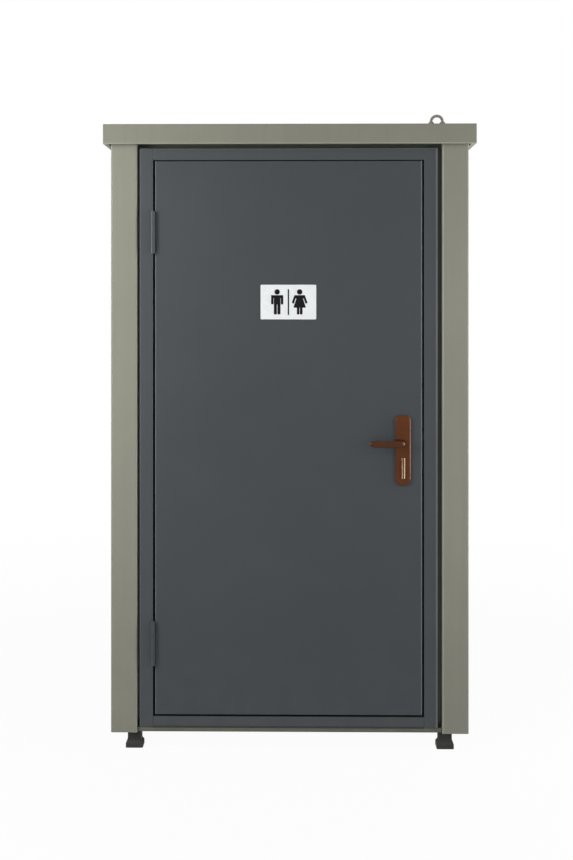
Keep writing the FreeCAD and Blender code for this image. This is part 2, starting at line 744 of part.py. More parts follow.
def foot():
    """Moulded foot: wide base, flare and block."""
    base = Part.Face(octagon(FOOT_BASE_SIDE, FOOT_BASE_CHAMFER, 0)).extrude(V(0, 0, FOOT_BASE_HEIGHT))
    neck_z = FOOT_BASE_HEIGHT + FOOT_FLARE_HEIGHT
    flare = Part.makeLoft([octagon(FOOT_BASE_SIDE, FOOT_BASE_CHAMFER, FOOT_BASE_HEIGHT),
                           octagon(FOOT_BLOCK_SIDE, FOOT_BLOCK_CHAMFER, neck_z)], True, True)
    block = Part.Face(octagon(FOOT_BLOCK_SIDE, FOOT_BLOCK_CHAMFER, neck_z))
    block = block.extrude(V(0, 0, FOOT_HEIGHT - neck_z))
    return fuse(base, flare, block)


def feet():
    shapes = []
    for side in (-1, 1):
        for y in (FRONT_Y + FOOT_CENTRE_FROM_FRONT, BACK_Y - FOOT_CENTRE_FROM_FRONT):
            placed = foot()
            placed.translate(V(side * (HALF_WIDTH - FOOT_CENTRE_FROM_SIDE), y, 0))
            shapes.append(placed)
    return group(shapes)


# Walls


def ribbed_sheet(length):
    """Profiled sheet along +X from 0, crests at y = 0 and troughs at y = RIB_DEPTH, standing from z = 0."""
    count = max(1, round(length / RIB_PITCH))
    pitch = length / count
    flat_low = pitch - RIB_CREST - 2.0 * RIB_FLANK
    front = [(0.0, RIB_DEPTH)]
    for i in range(count):
        x = i * pitch + flat_low / 2.0
        front += [(x, RIB_DEPTH), (x + RIB_FLANK, 0.0),
                  (x + RIB_FLANK + RIB_CREST, 0.0), (x + 2.0 * RIB_FLANK + RIB_CREST, RIB_DEPTH)]
    front.append((length, RIB_DEPTH))
    outline = [(x, y, 0.0) for x, y in front]
    outline += [(x, y + SHEET_THICKNESS, 0.0) for x, y in reversed(front)]
    return prism(outline, (0, 0, TOP_RAIL_BOTTOM - BASE_RAIL_TOP))


def turned(shape, angle, x, y, z):
    """Shape turned about Z and then moved."""
    placed = shape.copy()
    placed.rotate(V(0, 0, 0), V(0, 0, 1), angle)
    placed.translate(V(x, y, z))
    return placed


def side_sheet(x_sign):
    sheet = ribbed_sheet(SIDE_WALL_BACK - SIDE_WALL_FRONT)
    if x_sign < 0:
        return turned(sheet, -90, -HALF_WIDTH + CREST, SIDE_WALL_BACK, BASE_RAIL_TOP)
    return turned(sheet, 90, HALF_WIDTH - CREST, SIDE_WALL_FRONT, BASE_RAIL_TOP)


def rear_openings(y0, y1, c):
    """Drain, water and vent passages with clearance c through the rear wall between two planes."""
    drain = cylinder(DRAIN_RADIUS + c, (TOILET_X, y0, DRAIN_Z), (TOILET_X, y1, DRAIN_Z))
    water = cylinder(WATER_RADIUS + c, (TOILET_X + WATER_X, y0, WATER_Z), (TOILET_X + WATER_X, y1, WATER_Z))
    h = VENT_SIDE / 2.0 + c
    vent = box(TOILET_X - h, TOILET_X + h, y0, y1, VENT_Z - h, VENT_Z + h)
    return [drain, water, vent]


def rear_sheet():
    sheet = ribbed_sheet(2.0 * OPENING_HALF)
    sheet = turned(sheet, 180, OPENING_HALF, BACK_Y - CREST, BASE_RAIL_TOP)
    return sheet.cut(rear_openings(BACK_Y - STUD_OUTER, BACK_Y, WALL_HOLE_CLEARANCE))


def side_lining(x_sign):
    return box(x_sign * (HALF_WIDTH - LINING_OUTER), x_sign * (HALF_WIDTH - LINING_INNER),
               SIDE_WALL_FRONT, SIDE_WALL_BACK, FLOOR_TOP, CEILING_BOTTOM)


def rear_lining():
    lining = box(-OPENING_HALF, OPENING_HALF, WALL_REAR_FACE, WALL_REAR_FACE + LINING_THICKNESS,
                 FLOOR_TOP, CEILING_BOTTOM)
    return lining.cut(rear_openings(WALL_REAR_FACE, BACK_Y - LINING_OUTER, WALL_HOLE_CLEARANCE))


def stud_frame(length, stud_places):
    """Timber frame lying along +X from 0, its outer face at y = 0."""
    height = TOP_RAIL_BOTTOM - BASE_RAIL_TOP
    frame = box(0, length, 0, STUD_DEPTH, 0, height)
    edges = [0.0] + list(stud_places) + [length]
    for i in range(len(edges) - 1):
        left = edges[i] + (STUD_WIDTH if i == 0 else STUD_WIDTH / 2.0)
        right = edges[i + 1] - (STUD_WIDTH if i == len(edges) - 2 else STUD_WIDTH / 2.0)
        frame = frame.cut(box(left, right, 0, STUD_DEPTH, STUD_WIDTH, height - STUD_WIDTH))
    return frame


def wall_studs():
    side_length = SIDE_WALL_BACK - SIDE_WALL_FRONT
    side = stud_frame(side_length, [side_length / 3.0, side_length * 2.0 / 3.0])
    left = turned(side, -90, -HALF_WIDTH + STUD_OUTER, SIDE_WALL_BACK, BASE_RAIL_TOP)
    right = turned(side, 90, HALF_WIDTH - STUD_OUTER, SIDE_WALL_FRONT, BASE_RAIL_TOP)
    rear_length = 2.0 * OPENING_HALF
    rear = stud_frame(rear_length, [rear_length / 4.0, rear_length * 3.0 / 4.0])
    rear = turned(rear, 180, OPENING_HALF, BACK_Y - STUD_OUTER, BASE_RAIL_TOP)
    return group([left, right, rear])


def vent_grille():
    """Square sleeve through the rear wall with an outer flange and slanted slats."""
    h = VENT_SIDE / 2.0
    y_in = WALL_REAR_FACE
    y_out = BACK_Y - CREST
    x0 = TOILET_X
    f = h + VENT_FLANGE
    i = h - VENT_WALL
    sleeve = box(x0 - h, x0 + h, y_in, y_out, VENT_Z - h, VENT_Z + h)
    flange = box(x0 - f, x0 + f, y_out, y_out + VENT_FLANGE_THICKNESS, VENT_Z - f, VENT_Z + f)
    body = fuse(sleeve, flange)
    body = body.cut(box(x0 - i, x0 + i, y_in, y_out + VENT_FLANGE_THICKNESS, VENT_Z - i, VENT_Z + i))
    pitch = 2.0 * i / VENT_SLATS
    slats = []
    for n in range(VENT_SLATS):
        z = VENT_Z - i + pitch * (n + 0.5)
        slat = box(x0 - i, x0 + i, -VENT_SLAT_CHORD / 2.0, VENT_SLAT_CHORD / 2.0,
                   -VENT_SLAT_THICKNESS / 2.0, VENT_SLAT_THICKNESS / 2.0)
        slat.rotate(V(0, 0, 0), V(1, 0, 0), -VENT_SLAT_ANGLE)
        slat.translate(V(0, y_out - VENT_SLAT_CHORD / 2.0, z))
        slats.append(slat)
    return fuse(body, *slats)


# Door frame


def jamb_outline(x_outer, x_open, x_stop, inset):
    """Plan outline of a jamb, moved inward by inset."""
    s = 1.0 if x_open > x_outer else -1.0
    return [(x_outer + s * inset, DOOR_FACE + inset), (x_open - s * inset, DOOR_FACE + inset),
            (x_open - s * inset, STOP_FRONT + inset), (x_stop - s * inset, STOP_FRONT + inset),
            (x_stop - s * inset, FRAME_BACK - inset), (x_outer + s * inset, FRAME_BACK - inset)]


def jamb_solid(x_outer, x_open, x_stop):
    outline = [(x, y, SILL_LIP_TOP) for x, y in jamb_outline(x_outer, x_open, x_stop, 0.0)]
    return prism(outline, (0, 0, TOP_RAIL_BOTTOM - SILL_LIP_TOP))


def jamb(x_outer, x_open, x_stop):
    """Folded steel jamb: face, opening side and stop."""
    inner = [(x, y, SILL_LIP_TOP) for x, y in jamb_outline(x_outer, x_open, x_stop, FRAME_WALL)]
    hollow = prism(inner, (0, 0, TOP_RAIL_BOTTOM - SILL_LIP_TOP))
    return jamb_solid(x_outer, x_open, x_stop).cut(hollow)


def hinge_jamb():
    return jamb(FRAME_LEFT, DOORWAY_LEFT, STOP_LEFT)


def strike_box(extra, depth):
    """Space of the strike plate in the opening side of the lock jamb, grown by extra."""
    h = STRIKE_LENGTH / 2.0 + extra
    w = STRIKE_WIDTH / 2.0 + extra
    z = (LATCH_Z + BOLT_Z) / 2.0
    return box(DOORWAY_RIGHT, DOORWAY_RIGHT + depth, LEAF_MIDDLE - w, LEAF_MIDDLE + w, z - h, z + h)


def lock_jamb():
    """Lock side jamb with a recess for the strike plate and a window behind it."""
    solid = jamb(FRAME_RIGHT, DOORWAY_RIGHT, STOP_RIGHT)
    recess = strike_box(LOCK_CLEARANCE, STRIKE_THICKNESS)
    window = strike_box(-STRIKE_LEDGE, FRAME_WALL)
    return solid.cut([recess, window])


def strike_plate():
    """Plate in the jamb's recess with an opening for the latch and one for the deadbolt."""
    x1 = DOORWAY_RIGHT + STRIKE_THICKNESS
    plate = strike_box(0.0, STRIKE_THICKNESS)
    return plate.cut([latch_room(STRIKE_SLACK, DOORWAY_RIGHT, x1),
                      bolt_room(STRIKE_SLACK, DOORWAY_RIGHT, x1)])


def frame_bar(outer, inner):
    """Head or threshold profile, fitted between the jambs."""
    bar = tube(outer, inner, (DOORWAY_RIGHT - DOORWAY_LEFT, 0, 0))
    left = jamb_solid(FRAME_LEFT, DOORWAY_LEFT, STOP_LEFT)
    right = jamb_solid(FRAME_RIGHT, DOORWAY_RIGHT, STOP_RIGHT)
    return bar.cut([left, right])


def frame_head():
    x = DOORWAY_LEFT
    w = FRAME_WALL

    def outline(i):
        return [(x, DOOR_FACE + i, HEAD_BOTTOM + i), (x, STOP_FRONT + i, HEAD_BOTTOM + i),
                (x, STOP_FRONT + i, STOP_TOP + i), (x, FRAME_BACK - i, STOP_TOP + i),
                (x, FRAME_BACK - i, TOP_RAIL_BOTTOM - i), (x, DOOR_FACE + i, TOP_RAIL_BOTTOM - i)]

    return frame_bar(outline(0.0), outline(w))


def frame_threshold():
    x = DOORWAY_LEFT
    w = FRAME_WALL

    def outline(i):
        return [(x, DOOR_FACE + i, THRESHOLD_BOTTOM + i), (x, FRAME_BACK - i, THRESHOLD_BOTTOM + i),
                (x, FRAME_BACK - i, FLOOR_TOP - i), (x, STOP_FRONT + i, FLOOR_TOP - i),
                (x, STOP_FRONT + i, THRESHOLD_FACE_TOP - i), (x, DOOR_FACE + i, THRESHOLD_FACE_TOP - i)]

    return frame_bar(outline(0.0), outline(w))


def door_gasket():
    """Hollow sealing ring on the stops, just clear of the closed leaf."""
    y0 = LEAF_BACK + GASKET_CLEARANCE
    x0 = STOP_LEFT - GASKET_OVERLAP
    x1 = STOP_RIGHT + GASKET_OVERLAP
    z0 = FLOOR_TOP - GASKET_OVERLAP
    z1 = STOP_TOP + GASKET_OVERLAP
    g = GASKET_WIDTH
    outer = box(x0, x1, y0, STOP_FRONT, z0, z1)
    return outer.cut(box(x0 + g, x1 - g, y0, STOP_FRONT, z0 + g, z1 - g))


# Door leaf


def spindle_hole(radius, y0, y1):
    return cylinder(radius, (HANDLE_X, y0, HANDLE_HEIGHT), (HANDLE_X, y1, HANDLE_HEIGHT))


def cylinder_profile(clearance, y0, y1):
    """Keyhole shaped lock cylinder between two planes: a barrel over a narrower flank."""
    c = clearance
    barrel = cylinder(CYLINDER_RADIUS + c, (HANDLE_X, y0, CYLINDER_Z), (HANDLE_X, y1, CYLINDER_Z))
    half = CYLINDER_FLANK / 2.0 + c
    bottom = CYLINDER_Z + CYLINDER_RADIUS - CYLINDER_HEIGHT - c
    flank = prism([(HANDLE_X - half, y0, bottom), (HANDLE_X + half, y0, bottom),
                   (HANDLE_X + half, y0, CYLINDER_Z), (HANDLE_X - half, y0, CYLINDER_Z)],
                  (0, y1 - y0, 0), [half - ROUND_END_FLAT, half - ROUND_END_FLAT, 0, 0])
    return fuse(barrel, flank)


def keyway_box(clearance, y0, y1):
    w = KEYWAY_WIDTH / 2.0 + clearance
    h = KEYWAY_HEIGHT / 2.0 + clearance
    return box(HANDLE_X - w, HANDLE_X + w, y0, y1, CYLINDER_Z - h, CYLINDER_Z + h)


def faceplate_box(extra):
    h = FACEPLATE_LENGTH / 2.0 + extra
    w = FACEPLATE_WIDTH / 2.0 + extra
    z = (LATCH_Z + BOLT_Z) / 2.0
    return box(LEAF_EDGE - FACEPLATE_THICKNESS, LEAF_EDGE, LEAF_MIDDLE - w, LEAF_MIDDLE + w, z - h, z + h)


def hardware_holes(y0, y1):
    """Passages for the lever necks and the lock cylinder."""
    return [spindle_hole(LEVER_NECK_RADIUS + LEVER_NECK_CLEARANCE, y0, y1),
            cylinder_profile(LOCK_CLEARANCE, y0, y1)]


def door_outer_skin():
    """Outer tray of the leaf: face sheet, folded edges and a hemmed lip on the lock side."""
    t = LEAF_SKIN
    back = LEAF_BACK - t
    tray = box(LEAF_LEFT, LEAF_EDGE, DOOR_FACE, back, LEAF_BOTTOM, LEAF_TOP)
    lip = box(LEAF_EDGE, LEAF_RIGHT, DOOR_FACE, DOOR_FACE + LEAF_LIP_THICKNESS, LEAF_BOTTOM, LEAF_TOP)
    leaf = fuse(tray, lip)
    front = edges_where(leaf, lambda e: is_at_y(e, DOOR_FACE))
    leaf = leaf.makeFillet(LEAF_EDGE_RADIUS, front)
    leaf = leaf.cut(box(LEAF_LEFT + t, LEAF_EDGE - t, DOOR_FACE + t, back, LEAF_BOTTOM + t, LEAF_TOP - t))
    leaf = leaf.cut(faceplate_box(LOCK_CLEARANCE))
    return leaf.cut(hardware_holes(DOOR_FACE, DOOR_FACE + t))


def door_inner_skin():
    sheet = box(LEAF_LEFT, LEAF_EDGE, LEAF_BACK - LEAF_SKIN, LEAF_BACK, LEAF_BOTTOM, LEAF_TOP)
    return sheet.cut(hardware_holes(LEAF_BACK - LEAF_SKIN, LEAF_BACK))


def case_box(extra):
    return box(LEAF_EDGE - FACEPLATE_THICKNESS - CASE_DEPTH - extra, LEAF_EDGE - FACEPLATE_THICKNESS,
               LEAF_MIDDLE - CASE_THICKNESS / 2.0 - extra, LEAF_MIDDLE + CASE_THICKNESS / 2.0 + extra,
               HANDLE_HEIGHT - CASE_BELOW - extra, HANDLE_HEIGHT + CASE_ABOVE + extra)


def door_core():
    """Grid of stiffening strips between the skins, with room for the lock."""
    t = LEAF_SKIN
    x0 = LEAF_LEFT + t + CORE_CLEARANCE
    x1 = LEAF_EDGE - t - CORE_CLEARANCE
    z0 = LEAF_BOTTOM + t + CORE_CLEARANCE
    z1 = LEAF_TOP - t - CORE_CLEARANCE
    y0 = DOOR_FACE + t
    y1 = LEAF_BACK - t
    core = box(x0, x1, y0, y1, z0, z1)
    step_x = (x1 - x0 - CORE_WALL) / CORE_COLUMNS
    step_z = (z1 - z0 - CORE_WALL) / CORE_ROWS
    cells = []
    for i in range(CORE_COLUMNS):
        for j in range(CORE_ROWS):
            cx = x0 + CORE_WALL + i * step_x
            cz = z0 + CORE_WALL + j * step_z
            cells.append(box(cx, cx + step_x - CORE_WALL, y0, y1, cz, cz + step_z - CORE_WALL))
    core = core.cut(cells)
    z_mid = (LATCH_Z + BOLT_Z) / 2.0
    pocket_half = FACEPLATE_LENGTH / 2.0 + 2.0 * t
    pocket_left = LEAF_EDGE - FACEPLATE_THICKNESS - CASE_DEPTH - 2.0 * t
    return core.cut(box(pocket_left, x1, y0, y1, z_mid - pocket_half, z_mid + pocket_half))


def knuckle_heights(bottom, length):
    """Start and end of the lower frame, leaf and upper frame knuckles."""
    gap = HINGE_KNUCKLE_GAP
    leaf = length * LEAF_KNUCKLE_SHARE
    side = (length - leaf) / 2.0
    return [(bottom, bottom + side - gap / 2.0),
            (bottom + side + gap / 2.0, bottom + length - side - gap / 2.0),
            (bottom + length - side + gap / 2.0, bottom + length)]


def knuckle(z0, z1, bore):
    shape = cylinder(HINGE_RADIUS, (HINGE_X, HINGE_Y, z0), (HINGE_X, HINGE_Y, z1))
    ends = edges_where(shape, lambda e: is_level(e, z0) or is_level(e, z1))
    shape = shape.makeChamfer(KNUCKLE_CHAMFER, ends)
    return shape, cylinder(bore, (HINGE_X, HINGE_Y, z0), (HINGE_X, HINGE_Y, z1))


HINGES = [(UPPER_HINGE_BOTTOM, UPPER_HINGE_LENGTH), (LOWER_HINGE_BOTTOM, LOWER_HINGE_LENGTH)]


def frame_hinge_knuckles():
    """Four knuckles welded to the face of the hinge jamb."""
    shapes = []
    for bottom, length in HINGES:
        heights = knuckle_heights(bottom, length)
        for z0, z1 in (heights[0], heights[2]):
            barrel, bore = knuckle(z0, z1, HINGE_PIN_RADIUS)
            weld = box(HINGE_X - HINGE_WELD_WIDTH, HINGE_X, HINGE_Y, DOOR_FACE, z0, z1)
            shapes.append(fuse(barrel, weld).cut(bore))
    return group(shapes)


def leaf_hinge_knuckles():
    """Two knuckles whose tabs are welded to the edge of the leaf."""
    shapes = []
    for bottom, length in HINGES:
        z0, z1 = knuckle_heights(bottom, length)[1]
        barrel, bore = knuckle(z0, z1, HINGE_PIN_RADIUS + HINGE_RUNNING)
        tab = box(LEAF_LEFT - HINGE_TAB, LEAF_LEFT, HINGE_Y, DOOR_FACE + HINGE_TAB_DEPTH, z0, z1)
        shapes.append(fuse(barrel, tab).cut(bore))
    return group(shapes)


def hinge_pins():
    shapes = []
    for bottom, length in HINGES:
        pin = cylinder(HINGE_PIN_RADIUS, (HINGE_X, HINGE_Y, bottom), (HINGE_X, HINGE_Y, bottom + length))
        head = cylinder(PIN_HEAD_RADIUS, (HINGE_X, HINGE_Y, bottom + length),
                        (HINGE_X, HINGE_Y, bottom + length + PIN_HEAD_HEIGHT))
        shapes.append(fuse(pin, head))
    return group(shapes)


# Lock


def latch_room(clearance, x0, x1):
    """Channel of the latch bolt."""
    h = LATCH_HEIGHT / 2.0 + clearance
    w = LATCH_THICKNESS / 2.0 + clearance
    return box(x0, x1, LEAF_MIDDLE - w, LEAF_MIDDLE + w, LATCH_Z - h, LATCH_Z + h)


def bolt_room(clearance, x0, x1):
    """Channel of the deadbolt."""
    h = BOLT_HEIGHT / 2.0 + clearance
    w = BOLT_THICKNESS / 2.0 + clearance
    return box(x0, x1, LEAF_MIDDLE - w, LEAF_MIDDLE + w, BOLT_Z - h, BOLT_Z + h)


def latch_bolt():
    """Latch with its slanted head towards the strike."""
    w = LATCH_THICKNESS / 2.0
    z0 = LATCH_Z - LATCH_HEIGHT / 2.0
    tip = LEAF_EDGE + LATCH_PROJECTION
    tail = LEAF_EDGE - LATCH_TAIL
    outline = [(tail, LEAF_MIDDLE - w, z0), (tip, LEAF_MIDDLE - w, z0),
               (tip, LEAF_MIDDLE - w + LATCH_BEVEL_FACE, z0),
               (LEAF_EDGE, LEAF_MIDDLE + w, z0), (tail, LEAF_MIDDLE + w, z0)]
    return prism(outline, (0, 0, LATCH_HEIGHT))


def deadbolt():
    front = LEAF_EDGE - BOLT_FLUSH
    shape = bolt_room(0.0, front - BOLT_LENGTH, front)
    return shape.makeChamfer(BOLT_CHAMFER, edges_where(shape, lambda e: is_at_x(e, front)))


def lock_faceplate():
    plate = faceplate_box(0.0)
    x0 = LEAF_EDGE - FACEPLATE_THICKNESS
    return plate.cut([latch_room(LOCK_CLEARANCE, x0, LEAF_EDGE), bolt_room(LOCK_CLEARANCE, x0, LEAF_EDGE)])


def lock_case():
    """Lock case with channels for both bolts and holes for spindle and cylinder."""
    case = case_box(0.0)
    front = LEAF_EDGE - FACEPLATE_THICKNESS
    y0 = LEAF_MIDDLE - CASE_THICKNESS / 2.0
    y1 = LEAF_MIDDLE + CASE_THICKNESS / 2.0
    latch = latch_room(LOCK_CLEARANCE, LEAF_EDGE - LATCH_TAIL - LATCH_PROJECTION - LOCK_CLEARANCE, front)
    bolt = bolt_room(LOCK_CLEARANCE, LEAF_EDGE - BOLT_FLUSH - BOLT_LENGTH - LOCK_CLEARANCE, front)
    spindle = spindle_hole(SPINDLE_SIDE / math.sqrt(2.0) + SPINDLE_CLEARANCE, y0, y1)
    return case.cut([latch, bolt, spindle, cylinder_profile(LOCK_CLEARANCE, y0, y1)])


def lock_cylinder():
    """Profile cylinder with a keyway outside and a bore for the thumb turn inside."""
    y0 = OUTER_PLATE_FACE + CYLINDER_COVER + LOCK_CLEARANCE
    y1 = INNER_PLATE_FACE + CYLINDER_PROUD
    body = cylinder_profile(0.0, y0, y1)
    keyway = keyway_box(0.0, y0, y0 + KEYWAY_DEPTH)
    shaft_end = y1 - TURN_SHAFT_LENGTH - TURN_CLEARANCE
    shaft = cylinder(TURN_SHAFT_RADIUS + TURN_CLEARANCE, (HANDLE_X, shaft_end, CYLINDER_Z),
                     (HANDLE_X, y1, CYLINDER_Z))
    return body.cut([keyway, shaft])


def thumb_turn():
    """Knob on a shaft: round collar and a wing with rounded ends, upright when unlocked."""
    y0 = INNER_PLATE_FACE + CYLINDER_PROUD + TURN_CLEARANCE
    y1 = y0 + TURN_COLLAR_HEIGHT
    shaft = cylinder(TURN_SHAFT_RADIUS, (HANDLE_X, y0 - TURN_SHAFT_LENGTH, CYLINDER_Z),
                     (HANDLE_X, y0 + OVERLAP, CYLINDER_Z))
    collar = cylinder(TURN_COLLAR_RADIUS, (HANDLE_X, y0, CYLINDER_Z), (HANDLE_X, y1, CYLINDER_Z))
    w = TURN_WIDTH / 2.0
    t = TURN_THICKNESS / 2.0
    wing = prism([(HANDLE_X - t, y1, CYLINDER_Z - w), (HANDLE_X + t, y1, CYLINDER_Z - w),
                  (HANDLE_X + t, y1, CYLINDER_Z + w), (HANDLE_X - t, y1, CYLINDER_Z + w)],
                 (0, TURN_PROJECTION - TURN_COLLAR_HEIGHT, 0), t - ROUND_END_FLAT)
    return fuse(shaft, collar, wing)


# Backplates and levers


def backplate_blank(y_leaf, outward):
    """Long plate with rounded ends, its face edge rounded."""
    y_face = y_leaf + outward * PLATE_THICKNESS
    w = PLATE_WIDTH / 2.0
    z0 = HANDLE_HEIGHT - PLATE_BELOW
    z1 = HANDLE_HEIGHT + PLATE_ABOVE
    plate = prism([(HANDLE_X - w, y_leaf, z0), (HANDLE_X + w, y_leaf, z0),
                   (HANDLE_X + w, y_leaf, z1), (HANDLE_X - w, y_leaf, z1)],
                  (0, y_face - y_leaf, 0),
                  [PLATE_BOTTOM_RADIUS, PLATE_BOTTOM_RADIUS, PLATE_TOP_RADIUS, PLATE_TOP_RADIUS])
    return plate.makeFillet(PLATE_EDGE_RADIUS, edges_where(plate, lambda e: is_at_y(e, y_face)))


def neck_bore(y0, y1):
    return spindle_hole(LEVER_NECK_RADIUS + LEVER_NECK_CLEARANCE, y0, y1)


def outer_backplate():
    """Outer plate with a raised, rounded guard over the lock cylinder, open only for the key."""
    plate = backplate_blank(DOOR_FACE, -1)
    g = GUARD_WIDTH / 2.0
    y_top = OUTER_PLATE_FACE - GUARD_PROUD
    y_root = OUTER_PLATE_FACE + OVERLAP
    y_cover = OUTER_PLATE_FACE + CYLINDER_COVER
    guard = prism([(HANDLE_X - g, y_root, CYLINDER_Z - GUARD_BELOW),
                   (HANDLE_X + g, y_root, CYLINDER_Z - GUARD_BELOW),
                   (HANDLE_X + g, y_root, CYLINDER_Z + GUARD_ABOVE),
                   (HANDLE_X - g, y_root, CYLINDER_Z + GUARD_ABOVE)],
                  (0, y_top - y_root, 0), g - ROUND_END_FLAT)
    guard = guard.makeFillet(GUARD_EDGE_RADIUS, edges_where(guard, lambda e: is_at_y(e, y_top)))
    plate = fuse(plate, guard)
    return plate.cut([neck_bore(OUTER_PLATE_FACE, DOOR_FACE), keyway_box(KEY_SLOT_MARGIN, y_top, y_cover),
                      cylinder_profile(LOCK_CLEARANCE, y_cover, DOOR_FACE)])


def inner_backplate():
    plate = backplate_blank(LEAF_BACK, 1)
    return plate.cut([neck_bore(LEAF_BACK, INNER_PLATE_FACE),
                      cylinder_profile(LOCK_CLEARANCE, LEAF_BACK, INNER_PLATE_FACE)])


def oval(x, y, z, sideways, half_depth, half_height):
    """Upright oval section of the lever, its narrow half along the given direction in plan."""
    centre = V(x, y, z)
    top = centre + V(0, 0, half_height)
    side = centre + V(*sideways) * half_depth
    return Part.Wire(Part.Ellipse(top, side, centre).toShape())


def lever_sections(y_plate, outward):
    """Ovals along the lever: out of the collar, round the bend and along the grip to its narrow tip."""
    x, z = HANDLE_X, HANDLE_HEIGHT
    y_grip = y_plate + outward * LEVER_STANDOFF
    y_bend = y_grip - outward * LEVER_BEND_RADIUS
    root_depth = LEVER_ROOT_DEPTH / 2.0
    root_height = LEVER_ROOT_HEIGHT / 2.0
    depth = LEVER_GRIP_DEPTH / 2.0
    height = LEVER_GRIP_HEIGHT / 2.0
    start = y_plate + outward * LEVER_COLLAR_HEIGHT / 2.0
    sections = [oval(x, start, z, (1, 0, 0), root_depth, root_height)]
    for i in range(LEVER_BEND_STEPS + 1):
        share = i / LEVER_BEND_STEPS
        a = share * math.pi / 2.0
        sections.append(oval(x - LEVER_BEND_RADIUS * (1.0 - math.cos(a)),
                             y_bend + outward * LEVER_BEND_RADIUS * math.sin(a), z,
                             (math.cos(a), outward * math.sin(a), 0),
                             root_depth + (depth - root_depth) * share,
                             root_height + (height - root_height) * share))
    tip = x - LEVER_REACH
    along = (0, outward, 0)
    sections.append(oval((x + tip) / 2.0, y_grip, z, along, depth, height))
    for share in LEVER_TIP_STATIONS:
        taper = share * share
        sections.append(oval(tip + LEVER_TIP_LENGTH * (1.0 - share), y_grip, z, along,
                             depth + (LEVER_TIP_DEPTH / 2.0 - depth) * taper,
                             height + (LEVER_TIP_HEIGHT / 2.0 - height) * taper))
    return sections


def lever(y_plate, outward):
    """Lever handle: neck in the plate's bore, collar, bend and grip, with a square socket for the spindle."""
    x, z = HANDLE_X, HANDLE_HEIGHT
    neck_start = y_plate - outward * (PLATE_THICKNESS - LEVER_NECK_SETBACK)
    collar_start = y_plate + outward * LEVER_NECK_CLEARANCE
    collar_end = collar_start + outward * LEVER_COLLAR_HEIGHT
    neck = cylinder(LEVER_NECK_RADIUS, (x, neck_start, z), (x, collar_end, z))
    collar = cylinder(LEVER_COLLAR_RADIUS, (x, collar_start, z), (x, collar_end, z))
    grip = Part.makeLoft(lever_sections(y_plate, outward), True, False)
    h = SPINDLE_SIDE / 2.0
    socket = box(x - h, x + h, neck_start, neck_start + outward * SPINDLE_SOCKET, z - h, z + h)
    return fuse(neck, collar, grip).cut(socket)


def outer_lever():
    return lever(OUTER_PLATE_FACE, -1)


def inner_lever():
    return lever(INNER_PLATE_FACE, 1)


def handle_spindle():
    """Square bar from the bottom of one lever's socket to the other's."""
    h = SPINDLE_SIDE / 2.0
    reach = LEVER_NECK_SETBACK + SPINDLE_SOCKET
    return box(HANDLE_X - h, HANDLE_X + h, DOOR_FACE - reach, LEAF_BACK + reach,
               HANDLE_HEIGHT - h, HANDLE_HEIGHT + h)


def sign_plate():
    w = SIGN_WIDTH / 2.0
    h = SIGN_HEIGHT / 2.0
    y = DOOR_FACE - SIGN_THICKNESS
    return prism([(SIGN_CENTRE_X - w, y, SIGN_CENTRE_Z - h), (SIGN_CENTRE_X + w, y, SIGN_CENTRE_Z - h),
                  (SIGN_CENTRE_X + w, y, SIGN_CENTRE_Z + h), (SIGN_CENTRE_X - w, y, SIGN_CENTRE_Z + h)],
                 (0, SIGN_THICKNESS, 0), SIGN_CORNER_RADIUS)


# Toilet


def egg(half_width, back, front, z):
    """Toilet outline: straight back and sides with an elliptical front. Distances run from the rear wall."""
    y_back = WALL_REAR_FACE - back
    y_front = WALL_REAR_FACE - front
    nose = min(front - back - BOWL_STRAIGHT_LEAST, half_width * BOWL_NOSE_RATIO)
    y_mid = y_front + nose
    points = []
    for i in range(BOWL_NOSE_STEPS + 1):
        a = math.pi * i / BOWL_NOSE_STEPS
        points.append(V(TOILET_X + half_width * math.cos(a), y_mid - nose * math.sin(a), z))
    curve = Part.BSplineCurve()
    curve.interpolate(points, InitialTangent=V(0, -1, 0), FinalTangent=V(0, 1, 0))
    left = V(TOILET_X - half_width, y_back, z)
    right = V(TOILET_X + half_width, y_back, z)
    return Part.Wire([Part.LineSegment(left, right).toShape(), Part.LineSegment(right, points[0]).toShape(),
                      curve.toShape(), Part.LineSegment(points[-1], left).toShape()])


def ellipse(half_x, half_y, centre, z):
    """Ellipse with its longer half along Y, centre given from the rear wall."""
    y = WALL_REAR_FACE - centre
    shape = Part.Ellipse(V(TOILET_X, y + half_y, z), V(TOILET_X + half_x, y, z), V(TOILET_X, y, z))
    return Part.Wire(shape.toShape())


def bowl_outside():
    """Pedestal, waist and belly under a straight rim."""
    rim_z = BOWL_TOP - BOWL_RIM_DEPTH
    rim = egg(BOWL_HALF_WIDTH, BOWL_RIM_BACK, BOWL_FRONT, rim_z)
    waist_z = FLOOR_TOP + BOWL_WAIST_RISE
    belly_z = FLOOR_TOP + BOWL_BELLY_RISE
    pedestal = Part.makeLoft([egg(BOWL_FOOT_HALF_WIDTH, BOWL_FOOT_BACK, BOWL_FOOT_FRONT, FLOOR_TOP),
                              egg(BOWL_WAIST_HALF_WIDTH, BOWL_FOOT_BACK, BOWL_FOOT_FRONT, waist_z),
                              egg(BOWL_BELLY_HALF_WIDTH, BOWL_BELLY_BACK, BOWL_BELLY_FRONT, belly_z),
                              rim], True, False)
    return fuse(pedestal, Part.Face(rim).extrude(V(0, 0, BOWL_RIM_DEPTH)))


def bowl_cavity():
    """Inside of the bowl: ellipses that shrink and move back towards the throat."""
    sections = []
    for depth, size, shift in BOWL_CAVITY_STATIONS:
        sections.append(ellipse(BOWL_CAVITY_HALF_WIDTH * size, BOWL_CAVITY_HALF_LENGTH * size,
                                BOWL_CAVITY_CENTRE - shift, BOWL_TOP - BOWL_CAVITY_DEPTH * depth))
    return Part.makeLoft(sections, True, False)


